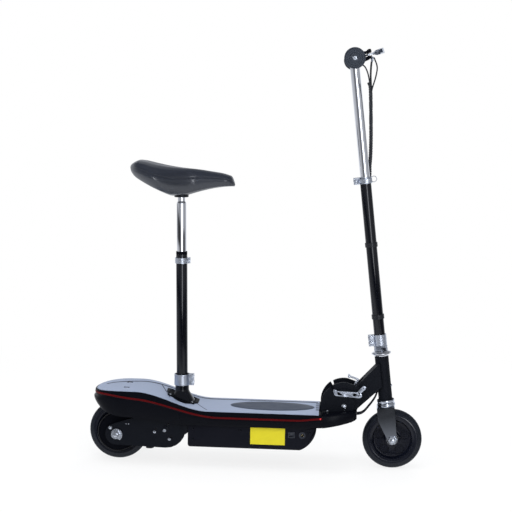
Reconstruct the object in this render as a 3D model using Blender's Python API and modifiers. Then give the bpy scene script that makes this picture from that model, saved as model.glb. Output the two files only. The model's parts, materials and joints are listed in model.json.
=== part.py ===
"""Folding electric scooter with a seat, as an assembly of separate pieces.

Metres, +X forward, +Y to the rider's left, +Z up. The origin is on the ground,
midway between the axles. Each assembly hangs from an empty on its joint's axis.
"""
import math

import bmesh
import bpy
from mathutils import Matrix, Vector

# Driving dimensions, in metres. A name ending in _X is measured forward of the rear axle.
GAP = 0.0003
WHEELBASE = 0.641
TYRE_RADIUS = 0.069
TYRE_HALF_WIDTH = 0.015
TREAD_HALF_WIDTH = 0.008
BEAD_RADIUS = 0.0498
HUB_RADIUS = 0.0170
HUB_HALF_WIDTH = 0.0155
WEB_THICKNESS = 0.007
WEB_HOLE_RADIUS = 0.0105
WEB_HOLE_CIRCLE = 0.0305
WEB_HOLES = 5
BEARING_RADIUS = 0.0130
BEARING_WIDTH = 0.008
BEARING_INSET = 0.0005
SPACER_RADIUS = 0.0075
AXLE_RADIUS = 0.005
AXLE_NUT_RADIUS = 0.009
REAR_SHOULDER = 0.008
FRONT_SHOULDER = 0.0075

DECK_WIDTH = 0.150
TAIL_X = -0.056
TAIL_FULL_X = 0.030
NOSE_START_X = 0.478
NOSE_END_X = 0.557
NOSE_WIDTH = 0.076
DECK_FLAT_TOP = 0.1335
DECK_TAIL_RISE = 0.0405
DECK_EASE = 0.0012
STRIPE_FLAT = 0.1208
STRIPE_RISE = 0.038
STRIPE_HEIGHT = 0.0044
STRIPE_PROUD = 0.0006
STRIPE_DEPTH = 0.0035
BODY_BOTTOM = 0.101
SHELL_WALL = 0.0025
ROOF_THICKNESS = 0.0032
RIB_THICKNESS = 0.003
RIB_XS = (0.205, 0.330, 0.452)
MAT_INSET = 0.004
MAT_THICKNESS = 0.0010
RECESS_X = 0.008
RECESS_SPACING = 0.060

CHASSIS_WIDTH = 0.100
CHASSIS_WALL = 0.0022
CHASSIS_START_X = 0.0705
CHASSIS_END_X = 0.546
TAIL_BRACKET_WIDTH = 0.040
TAIL_BRACKET_SHEET = 0.003
TAIL_BRACKET_X = -0.020
SIDE_PLATE = 0.003
AXLE_PLATE_RADIUS = 0.025
MOTOR_PLATE_RADIUS = 0.046
CAM_SHEET = 0.0025
CAM_RADII = (0.0090, 0.0165)

BOX_START_X = 0.168
BOX_FLOOR_END_X = 0.426
BOX_END_X = 0.465
BOX_BOTTOM = 0.047
BOX_WIDTH = 0.120
BOX_WALL = 0.0025
BOX_CORNER = 0.006
BATTERY_LENGTH = 0.099
BATTERY_WIDTH = 0.090
BATTERY_HEIGHT = 0.065
BATTERY_SPACE = 0.004
SWITCH_X = 0.4078
SWITCH_Z = 0.0836
SWITCH_LENGTH = 0.0155
SWITCH_HEIGHT = 0.0141
SWITCH_TILT = 8.0
SOCKET_X = 0.4328
SOCKET_Z = 0.0835
SOCKET_RADIUS = 0.0060

MOTOR_X = 0.1166
MOTOR_Z = 0.0865
MOTOR_RADIUS = 0.0335
MOTOR_LENGTH = 0.058
MOTOR_FRONT_Y = -0.014
MOTOR_BOLT_CIRCLE = 0.023
MOTOR_BOLT_ANGLES = (65, 185, 305)
BELT_PITCH = 0.005
BELT_INNER_Y = -0.0195
BELT_WIDTH = 0.009
BELT_THICKNESS = 0.0022
REAR_TEETH = 56
MOTOR_TEETH = 12
TOOTH_DEPTH = 0.0016
DRUM_RADIUS = 0.033
BRAKE_PLATE_RADIUS = 0.042
BRAKE_PLATE_Y = 0.0365
BAND_THICKNESS = 0.0016
BRAKE_ARM_PIVOT = (0.0240, 0.0260)

STAND_X = 0.025
STAND_Z = 0.075
STAND_FOOT = (0.060, 0.095)

PIVOT_X = 0.5267
PIVOT_Z = 0.1487
SECTOR_RADIUS = 0.0545
SHOULDER_RADIUS = 0.0400
BRACKET_INSIDE = 0.058
BRACKET_SHEET = 0.004
BRACKET_BASE = 0.003
BRACKET_TOE = 0.0185
PIVOT_BOLT_RADIUS = 0.006
KNUCKLE_RADIUS = 0.020
LATCH_PIVOT = (0.0315, 0.0317)
LATCH_BOSS_RADIUS = 0.014
LATCH_STUD_REACH = 0.0407
LATCH_STUD_ANGLE = 121.9
LATCH_STUD_RADIUS = 0.004
LATCH_SHAFT_RADIUS = 0.004
LATCH_ARM_SHEET = 0.0035
LATCH_ARM_HALF_HEIGHT = 0.0102
FOLD_TRAVEL = 78.0
BEAM_WIDTH = 0.041
BEAM_WALL = 0.003
CHEEK_INSIDE = 0.040
BEAM_LOWER = ((0.0308, -0.0082), (0.0748, 0.0341))
BEAM_UPPER = ((0.0233, 0.0402), (0.0696, 0.0903))

STEER_LEAN = 7.0
FORK_RAKE = 0.0065
STEERER_RADIUS = 0.0110
STEERER_TOP = 0.2620
CROWN_TOP = 0.0777
CROWN_THICKNESS = 0.0045
FORK_INSIDE = 0.036
FORK_SHEET = 0.003
FORK_END_RADIUS = 0.0105
CUP_HEIGHT = 0.0162
CUP_RADIUS = 0.0195
HEAD_TUBE_RADIUS = 0.0160
HEAD_TUBE_LENGTH = 0.1035
FLANGE_RADIUS = 0.0225
FLANGE_HEIGHT = 0.0112
NUT_RADIUS = 0.0150
STEM_RADIUS = 0.0127
STEM_BORE = 0.0114
STEM_BOTTOM = 0.2240
STEM_TOP = 0.6125
LOWER_CLAMP = (0.2225, 0.2480)
UPPER_CLAMP = (0.5990, 0.6138)
CLAMP_WALL = 0.0022
CLIP_HEIGHTS = (0.2898, 0.4575)
CLIP_WIDTH = 0.011
CLIP_WALL = 0.0015
BAR_TUBE_RADIUS = 0.0110
BAR_TUBE_WALL = 0.0015
BAR_TUBE_BOTTOM = 0.4500
BAR_HEIGHT = 0.8816
BAR_WIDTH = 0.370
GRIP_RADIUS = 0.0155
GRIP_FLANGE_RADIUS = 0.0230
GRIP_FLANGE = 0.006
GRIP_START_Y = BAR_WIDTH / 2 - 0.095
THROTTLE_LENGTH = 0.038
THROTTLE_COLLAR_RADIUS = 0.0185
PERCH_Y = 0.020 - GRIP_START_Y
PERCH_WIDTH = 0.016
LEVER_PIVOT = (0.0310, 0.0055)
LEVER_TILT = 9.0
LEVER_THICKNESS = 0.005
QUICK_RELEASE_PIVOT = (-0.0205, -0.0120)
HARNESS_RADIUS = 0.0043

MAST_X = 0.1479
MAST_Z = 0.1415
MAST_LEAN = 1.05
MAST_RADIUS = 0.0130
MAST_BORE = 0.0115
MAST_BOTTOM = 0.0175
MAST_TOP = 0.3465
STUB_RADIUS = 0.0158
STUB_TOP = 0.0620
SEAT_CLAMP = (0.0385, 0.0645)
TOP_CLAMP = (0.3257, 0.3387)
BOOT_RADIUS = 0.0295
BOOT_TOP = 0.0240
FLANGE_LENGTH = 0.062
FLANGE_WIDTH = 0.060
FLANGE_SHEET = 0.003
POST_RADIUS = 0.0111
POST_NECK_RADIUS = 0.0085
POST_WALL = 0.0015
POST_BOTTOM = 0.2000
POST_SHOULDER = 0.4655
POST_TOP = POST_SHOULDER + 0.0425
SADDLE_CLAMP = (POST_SHOULDER + 0.0140, POST_SHOULDER + 0.0465)
SADDLE_CLAMP_RADIUS = 0.0165
SADDLE_REAR = -0.1187
SADDLE_NOSE = 0.1232
SADDLE_WIDTH = 0.156
SADDLE_NOSE_WIDTH = 0.050
SADDLE_TAIL_HEIGHT = POST_SHOULDER + 0.0975
SADDLE_NOSE_DROP = 0.0385
SADDLE_TOP_SWAY = 0.0035
SADDLE_BOTTOM = POST_SHOULDER + 0.0160
SADDLE_TAIL_LIFT = 0.0505
SADDLE_NOSE_LIFT = 0.0221

for old in list(bpy.data.objects):
    bpy.data.objects.remove(old, do_unlink=True)

scooter = bpy.data.collections.new("folding_electric_scooter")
cutters = bpy.data.collections.new("cutters")
for collection in (scooter, cutters):
    bpy.context.scene.collection.children.link(collection)


def make_material(name, colour, roughness, metallic=0.0):
    """A Principled material with one colour."""
    material = bpy.data.materials.new(name)
    material.use_nodes = True
    shader = material.node_tree.nodes["Principled BSDF"]
    shader.inputs["Base Color"].default_value = (*colour, 1.0)
    shader.inputs["Roughness"].default_value = roughness
    shader.inputs["Metallic"].default_value = metallic
    material.diffuse_color = (*colour, 1.0)
    return material


BLACK_PAINT = make_material("black_paint", (0.012, 0.012, 0.014), 0.28)
BLACK_PLASTIC = make_material("black_plastic", (0.016, 0.016, 0.019), 0.38)
BLACK_LEATHER = make_material("black_leather", (0.012, 0.012, 0.016), 0.30)
RUBBER = make_material("rubber", (0.018, 0.018, 0.020), 0.55)
MAT_GREY = make_material("grey_mat", (0.36, 0.40, 0.47), 0.35)
RED_TRIM = make_material("red_trim", (0.20, 0.012, 0.014), 0.35)
CHROME = make_material("chrome", (0.80, 0.81, 0.83), 0.10, 1.0)
STEEL = make_material("zinc_steel", (0.58, 0.60, 0.64), 0.30, 1.0)
ALUMINIUM = make_material("aluminium", (0.74, 0.76, 0.80), 0.32, 1.0)


def assembly(name, location, parent=None, lean=0.0):
    """An empty on a joint's axis; lean tips its top towards the rear, in degrees."""
    empty = bpy.data.objects.new(name, None)
    empty.location = location
    empty.rotation_euler = (0.0, -math.radians(lean), 0.0)
    empty.parent = parent
    scooter.objects.link(empty)
    return empty


def shape(name, mesh, matrix=None):
    """A plain shape in the cutters' collection, until piece() takes it up."""
    obj = bpy.data.objects.new(name, mesh)
    if matrix is not None:
        obj.matrix_basis = matrix
    obj.hide_render = True
    obj.display_type = "WIRE"
    cutters.objects.link(obj)
    return obj


def block(low, high, turn=0.0, centre=None):
    """A box between two corners, turned about a line along Y, in degrees."""
    low, high = Vector(low), Vector(high)
    middle = (low + high) / 2
    mesh = bpy.data.meshes.new("block")
    bm = bmesh.new()
    bmesh.ops.create_cube(bm, size=1.0, matrix=Matrix.Diagonal((*(high - low), 1.0)))
    bm.to_mesh(mesh)
    bm.free()
    pivot = Vector(centre) if centre else middle
    turned_by = Matrix.Rotation(math.radians(turn), 4, "Y")
    return shape("block", mesh,
                 Matrix.Translation(pivot) @ turned_by @ Matrix.Translation(middle - pivot))


def rod(start, end, radius, end_radius=None, sides=20):
    """A round bar or cone between two points."""
    start, end = Vector(start), Vector(end)
    along = end - start
    mesh = bpy.data.meshes.new("rod")
    bm = bmesh.new()
    bmesh.ops.create_cone(
        bm, cap_ends=True, segments=sides, radius1=radius,
        radius2=radius if end_radius is None else end_radius, depth=along.length)
    bm.to_mesh(mesh)
    bm.free()
    mesh.shade_smooth()
    mesh.set_sharp_from_angle(angle=math.radians(35))
    turn = along.to_track_quat("Z", "Y").to_matrix().to_4x4()
    return shape("rod", mesh, Matrix.Translation((start + end) / 2) @ turn)


AXIS_TURNS = {
    "Z": Matrix.Identity(4),
    "Y": Matrix.Rotation(-math.pi / 2, 4, "X"),
}


def turned(profile, axis="Z", origin=(0.0, 0.0, 0.0), sides=28, closed=False, flats=False):
    """A profile of (radius, height) points, outer side top to bottom, turned on an axis.

    A closed profile is a ring's section. With flats, a flat lies at each quarter turn
    at the true radius, so a wheel stands on a flat.
    """
    grow = 1 / math.cos(math.pi / sides) if flats else 1.0
    mesh = bpy.data.meshes.new("profile")
    edges = [(i, i + 1) for i in range(len(profile) - 1)]
    if closed:
        edges.append((len(profile) - 1, 0))
    mesh.from_pydata([(r * grow, 0.0, h) for r, h in profile], edges, [])
    half_step = Matrix.Rotation(math.pi / sides if flats else 0.0, 4, "Z")
    obj = shape("turned", mesh, Matrix.Translation(origin) @ AXIS_TURNS[axis] @ half_step)
    screw = obj.modifiers.new("turn", "SCREW")
    screw.steps = screw.render_steps = sides
    screw.use_merge_vertices = True
    screw.merge_threshold = 0.00002
    screw.use_smooth_shade = True
    return obj


def sleeve(inner, outer, low, high, axis="Z", origin=(0.0, 0.0, 0.0), sides=28):
    """A plain sleeve between two radii and two heights."""
    profile = [(outer, high), (outer, low), (inner, low), (inner, high)]
    return turned(profile, axis, origin, sides, closed=True)


PLATE_TURNS = {
    "Y": Matrix.Rotation(math.pi / 2, 4, "X"),
    "Z": Matrix.Identity(4),
    "X": Matrix.Rotation(math.pi / 2, 4, "Z") @ Matrix.Rotation(math.pi / 2, 4, "X"),
}


def plate(outlines, low, high, normal="Y"):
    """Flat outlines (the first is the rim, the rest are holes) with a thickness.

    Outline points are (x, z) for a plate across Y, (x, y) across Z, (y, z) across X.
    """
    curve = bpy.data.curves.new("plate", "CURVE")
    curve.dimensions = "2D"
    curve.fill_mode = "BOTH"
    curve.extrude = (high - low) / 2
    for outline in outlines:
        spline = curve.splines.new("POLY")
        spline.points.add(len(outline) - 1)
        for point, (a, b) in zip(spline.points, outline):
            point.co = (a, b, 0.0, 1.0)
        spline.use_cyclic_u = True
    middle = (low + high) / 2
    shift = {"Y": (0, middle, 0), "Z": (0, 0, middle), "X": (middle, 0, 0)}[normal]
    return as_mesh(shape("plate", curve, Matrix.Translation(shift) @ PLATE_TURNS[normal]))


def as_mesh(curve_object):
    """The curve's evaluated surface as a welded mesh in the same place."""
    depsgraph = bpy.context.evaluated_depsgraph_get()
    mesh = bpy.data.meshes.new_from_object(curve_object.evaluated_get(depsgraph))
    bm = bmesh.new()
    bm.from_mesh(mesh)
    bmesh.ops.remove_doubles(bm, verts=bm.verts, dist=0.000005)
    bmesh.ops.recalc_face_normals(bm, faces=bm.faces)
    bm.to_mesh(mesh)
    bm.free()
    mesh.materials.clear()
    solid = shape(curve_object.name, mesh, curve_object.matrix_basis.copy())
    bpy.data.objects.remove(curve_object, do_unlink=True)
    return solid


def smooth_path(points, spacing):
    """Points read at even steps from a smooth curve through the given ones."""
    points = [Vector(p) for p in points]
    ends = [2 * points[0] - points[1]] + points + [2 * points[-1] - points[-2]]
    path = [points[0]]
    for i in range(1, len(ends) - 2):
        a, b, c, d = ends[i - 1:i + 3]
        steps = max(2, round((c - b).length / spacing))
        for k in range(1, steps + 1):
            t = k / steps
            path.append(0.5 * (2 * b + (c - a) * t + (2 * a - 5 * b + 4 * c - d) * t * t
                               + (3 * b - a - 3 * c + d) * t ** 3))
    return path


def wire(points, radius, resolution=2, cyclic=False):
    """A round wire along points, with closed ends."""
    curve = bpy.data.curves.new("wire", "CURVE")
    curve.dimensions = "3D"
    curve.bevel_depth = radius
    curve.bevel_resolution = resolution
    curve.use_fill_caps = not cyclic
    spline = curve.splines.new("POLY")
    spline.points.add(len(points) - 1)
    for point, co in zip(spline.points, points):
        point.co = (*co, 1.0)
    spline.use_cyclic_u = cyclic
    return as_mesh(shape("wire", curve))


def polar(centre, radius, angle):
    """A point at a radius and an angle in degrees."""
    return (centre[0] + radius * math.cos(math.radians(angle)),
            centre[1] + radius * math.sin(math.radians(angle)))


def arc(centre, radius, start, end, steps):
    """Points round a centre from one angle to another, in degrees."""
    return [polar(centre, radius, start + (end - start) * i / steps)
            for i in range(steps + 1)]


def circle(centre, radius, steps=16):
    """A closed round outline."""
    return arc(centre, radius, 0, 360 - 360 / steps, steps - 1)


def strap(a, radius_a, b, radius_b, steps=10):
    """The outline of a strap pulled round two circles."""
    dx, dz = b[0] - a[0], b[1] - a[1]
    heading = math.degrees(math.atan2(dz, dx))
    slant = math.degrees(math.acos((radius_a - radius_b) / math.hypot(dx, dz)))
    return (arc(a, radius_a, heading + slant, heading + 360 - slant, steps)
            + arc(b, radius_b, heading - slant, heading + slant, steps))


def rounded(low, high, radius, steps=3):
    """A rectangle with round corners."""
    (x0, y0), (x1, y1) = low, high
    return (arc((x1 - radius, y0 + radius), radius, -90, 0, steps)
            + arc((x1 - radius, y1 - radius), radius, 0, 90, steps)
            + arc((x0 + radius, y1 - radius), radius, 90, 180, steps)
            + arc((x0 + radius, y0 + radius), radius, 180, 270, steps))


def strip(points, thickness):
    """The outline of a strap of even thickness along a bent line."""
    points = [Vector(p) for p in points]
    left, right = [], []
    for i, point in enumerate(points):
        into = (point - points[i - 1]).normalized() if i else None
        out = (points[i + 1] - point).normalized() if i + 1 < len(points) else into
        into = into or out
        normal = Vector((-(into + out).y, (into + out).x)).normalized()
        reach = thickness / 2 / max(0.35, normal.dot(Vector((-into.y, into.x))))
        left.append(tuple(point + normal * reach))
        right.append(tuple(point - normal * reach))
    return left + right[::-1]


def combine(body, join=(), cut=(), keep=()):
    """Join, trim and cut a shape with others, which then follow it."""
    for operation, tools in (("UNION", join), ("INTERSECT", keep), ("DIFFERENCE", cut)):
        for number, tool in enumerate(tools):
            modifier = body.modifiers.new(f"{operation.lower()}_{number}", "BOOLEAN")
            modifier.operation = operation
            modifier.solver = "EXACT"
            modifier.object = tool
            tool.parent = body
            tool.matrix_parent_inverse = body.matrix_basis.inverted()
    return body


def piece(name, body, material, parent, join=(), cut=(), keep=(), bevel=0.0):
    """Make a shape into a named part: joined, trimmed, cut and with eased edges."""
    body.name = name
    body.hide_render = False
    body.display_type = "TEXTURED"
    cutters.objects.unlink(body)
    scooter.objects.link(body)
    body.parent = parent
    combine(body, join, cut, keep)
    if bevel:
        modifier = body.modifiers.new("eased", "BEVEL")
        modifier.width = bevel
        modifier.segments = 1
        modifier.limit_method = "ANGLE"
        modifier.angle_limit = math.radians(40)
    body.data.materials.append(material)
    return body


def ease(t):
    """Runs smoothly from 0 to 1."""
    t = min(1.0, max(0.0, t))
    return t * t * (3 - 2 * t)


def spread(start, end, count):
    """Evenly spaced values, both ends included."""
    return [start + (end - start) * i / count for i in range(count + 1)]


def tail_droop(x):
    """How far the tail bows down behind the rear axle."""
    return 0.006 * max(0.0, (0.020 - x) / 0.076) ** 2


def deck_top(x):
    """Height of the deck board: flat, a rise to the tail and a slight lift at the nose."""
    return (DECK_FLAT_TOP + DECK_TAIL_RISE * ease((0.215 - x) / 0.170)
            - tail_droop(x) + 0.0055 * ease((x - NOSE_START_X) / 0.060))


def stripe_line(x):
    """Height of the middle of the red stripe."""
    return (STRIPE_FLAT + STRIPE_RISE * ease((0.240 - x) / 0.210)
            + 0.0085 * ease((0.050 - x) / 0.090) - 0.8 * tail_droop(x)
            + 0.0064 * ease((x - 0.415) / 0.075))


def body_line(x):
    """Height of the body's lower edge: low amidships, swept up at tail and nose."""
    tail = 0.043 * max(0.0, (0.040 - x) / 0.096) ** 1.6
    nose = 0.016 * max(0.0, (x - 0.473) / 0.084) ** 1.2
    return BODY_BOTTOM + 0.013 * ease((0.170 - x) / 0.140) + tail + nose


def deck_underside(x):
    """Height of the deck board's lower face, which rests on the stripe."""
    return stripe_line(x) + STRIPE_HEIGHT / 2 + GAP


def skirt_top(x):
    """Height of the skirt's upper edge, under the stripe."""
    return stripe_line(x) - STRIPE_HEIGHT / 2 - GAP


def mat_top(x):
    """Height of the mat's upper face."""
    return deck_top(x) + GAP + MAT_THICKNESS


def plan(inset=0.0, tail_steps=7, nose_steps=5):
    """The body seen from above: round tail, straight sides, blunt round nose."""
    half = DECK_WIDTH / 2 - inset
    tail = TAIL_FULL_X - TAIL_X - inset
    nose = NOSE_END_X - inset - NOSE_START_X
    front = NOSE_WIDTH / 2 - inset
    side = []
    for i in range(tail_steps + 1):
        angle = math.pi / 2 * i / tail_steps
        side.append((TAIL_FULL_X - tail * math.cos(angle) ** 0.87,
                     half * math.sin(angle) ** 0.87))
    for i in range(nose_steps + 1):
        angle = math.pi / 2 * i / nose_steps
        side.append((NOSE_START_X + nose * math.sin(angle),
                     front + (half - front) * math.cos(angle)))
    return [(x, -y) for x, y in side] + [(x, y) for x, y in side[:0:-1]]


def plan_prism(inset=0.0):
    """The body's outline from above, as a tall prism."""
    return plate([plan(inset)], 0.0, 0.3, "Z")


def between(lower, upper, start, end, steps=22, half_width=0.12):
    """The space between two height curves, from start to end along X."""
    xs = spread(start, end, steps)
    outline = [(x, lower(x)) for x in xs] + [(x, upper(x)) for x in reversed(xs)]
    return plate([outline], -half_width, half_width)


BEYOND_TAIL = TAIL_X - 0.005
BRACKET_HALF = BRACKET_INSIDE / 2 + BRACKET_SHEET
BRACKET_START_X = PIVOT_X - SECTOR_RADIUS
CHASSIS_TOP = deck_underside(0.35) - GAP
HARNESS_ENTRY = (NOSE_END_X - 0.006, 0.004, 0.1235)
CHASSIS_REACH = CHASSIS_WIDTH / 2 + GAP
RIB_REACH = DECK_WIDTH / 2 - SHELL_WALL / 2


def deck_recesses(depth):
    """The two screw recesses in the tail, as cutters from a depth upwards."""
    return [plate([rounded((RECESS_X - 0.006, side * RECESS_SPACING / 2 - 0.0045),
                           (RECESS_X + 0.006, side * RECESS_SPACING / 2 + 0.0045), 0.002)],
                  deck_top(RECESS_X) - depth, 0.25, "Z") for side in (-1, 1)]


def build_deck(rear):
    """Deck board, mat and edge stripe."""
    clearance = 0.0005
    bracket_space = block((BRACKET_START_X - 0.0015, -BRACKET_HALF - clearance, 0.05),
                          (0.6, BRACKET_HALF + clearance, 0.2))
    piece("deck", plan_prism(), BLACK_PLASTIC, rear,
          keep=[between(deck_underside, deck_top, BEYOND_TAIL, NOSE_START_X - GAP)],
          cut=[bracket_space, *deck_recesses(0.0025)], bevel=DECK_EASE)
    mat_end = block((BRACKET_START_X - 0.007, -DECK_WIDTH, 0.05), (0.6, DECK_WIDTH, 0.2))
    piece("deck_mat", plan_prism(MAT_INSET), MAT_GREY, rear,
          keep=[between(lambda x: deck_top(x) + GAP, mat_top, BEYOND_TAIL,
                        NOSE_START_X - GAP)],
          cut=[mat_end, *deck_recesses(0.03)])
    piece("edge_stripe", plan_prism(-STRIPE_PROUD), RED_TRIM, rear,
          keep=[between(lambda x: stripe_line(x) - STRIPE_HEIGHT / 2,
                        lambda x: stripe_line(x) + STRIPE_HEIGHT / 2,
                        BEYOND_TAIL, NOSE_START_X - GAP)],
          cut=[plan_prism(STRIPE_DEPTH)])


def build_body(rear):
    """Side skirt with its ribs, and the nose cover round the hinge bracket."""
    ribs = [block((x, min(side * CHASSIS_REACH, side * RIB_REACH), BODY_BOTTOM + 0.002),
                  (x + RIB_THICKNESS, max(side * CHASSIS_REACH, side * RIB_REACH),
                   skirt_top(x) - 0.002))
            for x in RIB_XS for side in (-1, 1)]
    skirt = combine(plan_prism(), cut=[plan_prism(SHELL_WALL)],
                    keep=[between(body_line, skirt_top, BEYOND_TAIL, NOSE_START_X)])
    piece("body_skirt", skirt, BLACK_PLASTIC, rear)
    combine(skirt, join=ribs)

    beyond = NOSE_END_X + 0.005
    inside = combine(plan_prism(SHELL_WALL), keep=[
        between(lambda x: 0.0, lambda x: deck_top(x) - ROOF_THICKNESS,
                NOSE_START_X - 0.01, beyond, 6)])
    bracket_space = block((NOSE_START_X - 0.01, -BRACKET_HALF - 0.0005, 0.1),
                          (NOSE_END_X - SHELL_WALL - 0.001, BRACKET_HALF + 0.0005, 0.2))
    entry = HARNESS_ENTRY
    cable_hole = rod((NOSE_END_X - 0.02, entry[1], entry[2]),
                     (beyond, entry[1], entry[2]), HARNESS_RADIUS + 0.0030, sides=12)
    piece("nose_cover", plan_prism(), BLACK_PLASTIC, rear,
          keep=[between(body_line, deck_top, NOSE_START_X + GAP, beyond, 8)],
          cut=[inside, bracket_space, cable_hole])


def build_chassis(rear):
    """The steel channel under the deck, with the strip that carries the tail."""
    half = CHASSIS_WIDTH / 2
    inside = half - CHASSIS_WALL
    channel = [(-half, BODY_BOTTOM), (-inside, BODY_BOTTOM),
               (-inside, CHASSIS_TOP - CHASSIS_WALL), (inside, CHASSIS_TOP - CHASSIS_WALL),
               (inside, BODY_BOTTOM), (half, BODY_BOTTOM),
               (half, CHASSIS_TOP), (-half, CHASSIS_TOP)]
    lip = TAIL_BRACKET_WIDTH / 2
    foot = CHASSIS_START_X + 0.001
    leg = block((foot, -lip, CHASSIS_TOP - CHASSIS_WALL),
                (foot + TAIL_BRACKET_SHEET, lip, deck_underside(foot) - GAP - 0.002))
    rest = between(lambda x: deck_underside(x) - 3 * GAP - TAIL_BRACKET_SHEET,
                   lambda x: deck_underside(x) - 3 * GAP,
                   TAIL_BRACKET_X, foot + TAIL_BRACKET_SHEET, 12, lip)
    upswept = between(lambda x: 0.05, lambda x: body_line(x) + 0.001,
                      0.473, CHASSIS_END_X + 0.01, 6)
    post_x, post_z = polar((MOTOR_X, MOTOR_Z), MOTOR_BOLT_CIRCLE, MOTOR_BOLT_ANGLES[0])
    post_hole = rod((post_x, -half - 0.01, post_z), (post_x, 0.0, post_z), 0.0060, sides=12)
    piece("chassis_frame", plate([channel], CHASSIS_START_X, CHASSIS_END_X, "X"),
          BLACK_PAINT, rear, join=[leg, rest], cut=[upswept, post_hole])


PLATE_IN = CHASSIS_REACH
PLATE_OUT = PLATE_IN + SIDE_PLATE
CAM_OUT = PLATE_OUT + GAP + CAM_SHEET
NUT_OUT = CAM_OUT + GAP + 0.005


def build_rear_plates(rear):
    """The plates that carry the axle, one with the motor's mount and one with the stand."""
    motor, axle = (MOTOR_X, MOTOR_Z), (0.0, TYRE_RADIUS)
    top = CHASSIS_TOP - 0.0045
    end = MOTOR_X + 0.042
    upper = [(0.028, 0.080), (0.036, 0.098), (0.056, 0.108), (CHASSIS_START_X + 0.003, top),
             (end, top), (end, 0.090)]
    rim = strap(axle, AXLE_PLATE_RADIUS, motor, MOTOR_PLATE_RADIUS, 12)
    axle_slot = strap((-0.005, TYRE_RADIUS), AXLE_RADIUS + GAP,
                      (0.009, TYRE_RADIUS), AXLE_RADIUS + GAP, 6)
    holes = [axle_slot, circle(motor, 0.0075, 12)]
    holes += [circle(polar(motor, MOTOR_BOLT_CIRCLE, a), 0.0027, 8) for a in MOTOR_BOLT_ANGLES]
    piece("right_side_plate", plate([rim], -PLATE_OUT, -PLATE_IN), BLACK_PAINT, rear,
          join=[plate([upper], -PLATE_OUT, -PLATE_IN)],
          cut=[plate(holes, -PLATE_OUT - 0.01, -PLATE_IN + 0.01)])
    stud = rod((STAND_X, PLATE_OUT - 0.001, STAND_Z), (STAND_X, PLATE_OUT + 0.0225, STAND_Z),
               0.004, sides=16)
    piece("left_side_plate", plate([rim, axle_slot], PLATE_IN, PLATE_OUT),
          BLACK_PAINT, rear, join=[plate([upper], PLATE_IN, PLATE_OUT), stud])
    inner, outer = CAM_RADII
    for side, name in ((-1, "right_snail_cam"), (1, "left_snail_cam")):
        low, high = sorted((side * (PLATE_OUT + GAP), side * CAM_OUT))
        spiral = [polar(axle, inner + (outer - inner) * i / 20, 275 - 330 * i / 20)
                  for i in range(21)]
        piece(name, plate([spiral, circle(axle, AXLE_RADIUS + GAP, 16)], low, high), STEEL,
              rear)


def axle_profile(bore_half, shoulder_end, plate_end, nut_end, tip, shoulder):
    """Half of an axle from its middle outwards, as (radius, distance) points."""
    return [(AXLE_RADIUS, bore_half), (shoulder, bore_half), (shoulder, shoulder_end),
            (AXLE_RADIUS, shoulder_end), (AXLE_RADIUS, plate_end),
            (AXLE_NUT_RADIUS, plate_end), (AXLE_NUT_RADIUS, nut_end),
            (AXLE_RADIUS, nut_end), (AXLE_RADIUS, tip)]


def whole_axle(half):
    """The full axle's profile, from one end to the other."""
    return ([(0.0, half[-1][1])] + half[::-1]
            + [(r, -y) for r, y in half] + [(0.0, -half[-1][1])])


def rim_profile():
    """Section of a rim: tyre seat, sloping flanges, thin web and hub."""
    seat = BEAD_RADIUS - GAP
    web = WEB_THICKNESS / 2
    bore = BEARING_RADIUS + GAP
    half = [(seat, 0.0098), (seat + 0.0027, 0.0125), (seat - 0.0035, 0.0125),
            (seat - 0.0060, web), (HUB_RADIUS + 0.002, web), (HUB_RADIUS, HUB_HALF_WIDTH),
            (bore, HUB_HALF_WIDTH)]
    return [(r, -h) for r, h in half] + half[::-1]


def tyre_profile():
    """Section of a tyre: flat tread, round shoulders, beads on the rim's flanges."""
    half = [(TYRE_RADIUS, TREAD_HALF_WIDTH), (TYRE_RADIUS - 0.0040, 0.0132),
            (TYRE_RADIUS - 0.0110, TYRE_HALF_WIDTH), (BEAD_RADIUS + 0.0034, 0.0136),
            (BEAD_RADIUS, 0.0096)]
    return [(r, -h) for r, h in half] + half[::-1]


def build_wheel(place, parent):
    """Tyre, rim and the two bearings with their spacer tube, on an axle line."""
    holes = []
    for k in range(WEB_HOLES):
        x, z = polar((0, 0), WEB_HOLE_CIRCLE, 90 + 360 * k / WEB_HOLES)
        holes.append(rod((x, -0.02, z), (x, 0.02, z), WEB_HOLE_RADIUS, sides=12))
    piece(f"{place}_tyre", turned(tyre_profile(), "Y", sides=36, closed=True, flats=True),
          RUBBER, parent)
    piece(f"{place}_rim", turned(rim_profile(), "Y", sides=28, closed=True),
          BLACK_PLASTIC, parent, cut=holes)
    outer = HUB_HALF_WIDTH - BEARING_INSET
    inner = outer - BEARING_WIDTH
    bore = AXLE_RADIUS + GAP
    piece(f"{place}_bearings",
          turned([(BEARING_RADIUS, outer), (BEARING_RADIUS, inner), (SPACER_RADIUS, inner),
                  (SPACER_RADIUS, -inner), (BEARING_RADIUS, -inner),
                  (BEARING_RADIUS, -outer), (bore, -outer), (bore, outer)],
                 "Y", sides=20, closed=True), STEEL, parent)


def toothed(teeth, tip_radius, low, high, bore):
    """A toothed pulley's outline with a round bore, across Y."""
    outline = []
    for k in range(teeth):
        start = 360 * k / teeth
        for share, radius in ((0.10, tip_radius), (0.40, tip_radius),
                              (0.55, tip_radius - TOOTH_DEPTH),
                              (0.95, tip_radius - TOOTH_DEPTH)):
            outline.append(polar((0, 0), radius, start + share * 360 / teeth))
    return plate([outline, circle((0, 0), bore, 20)], low, high)


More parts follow.
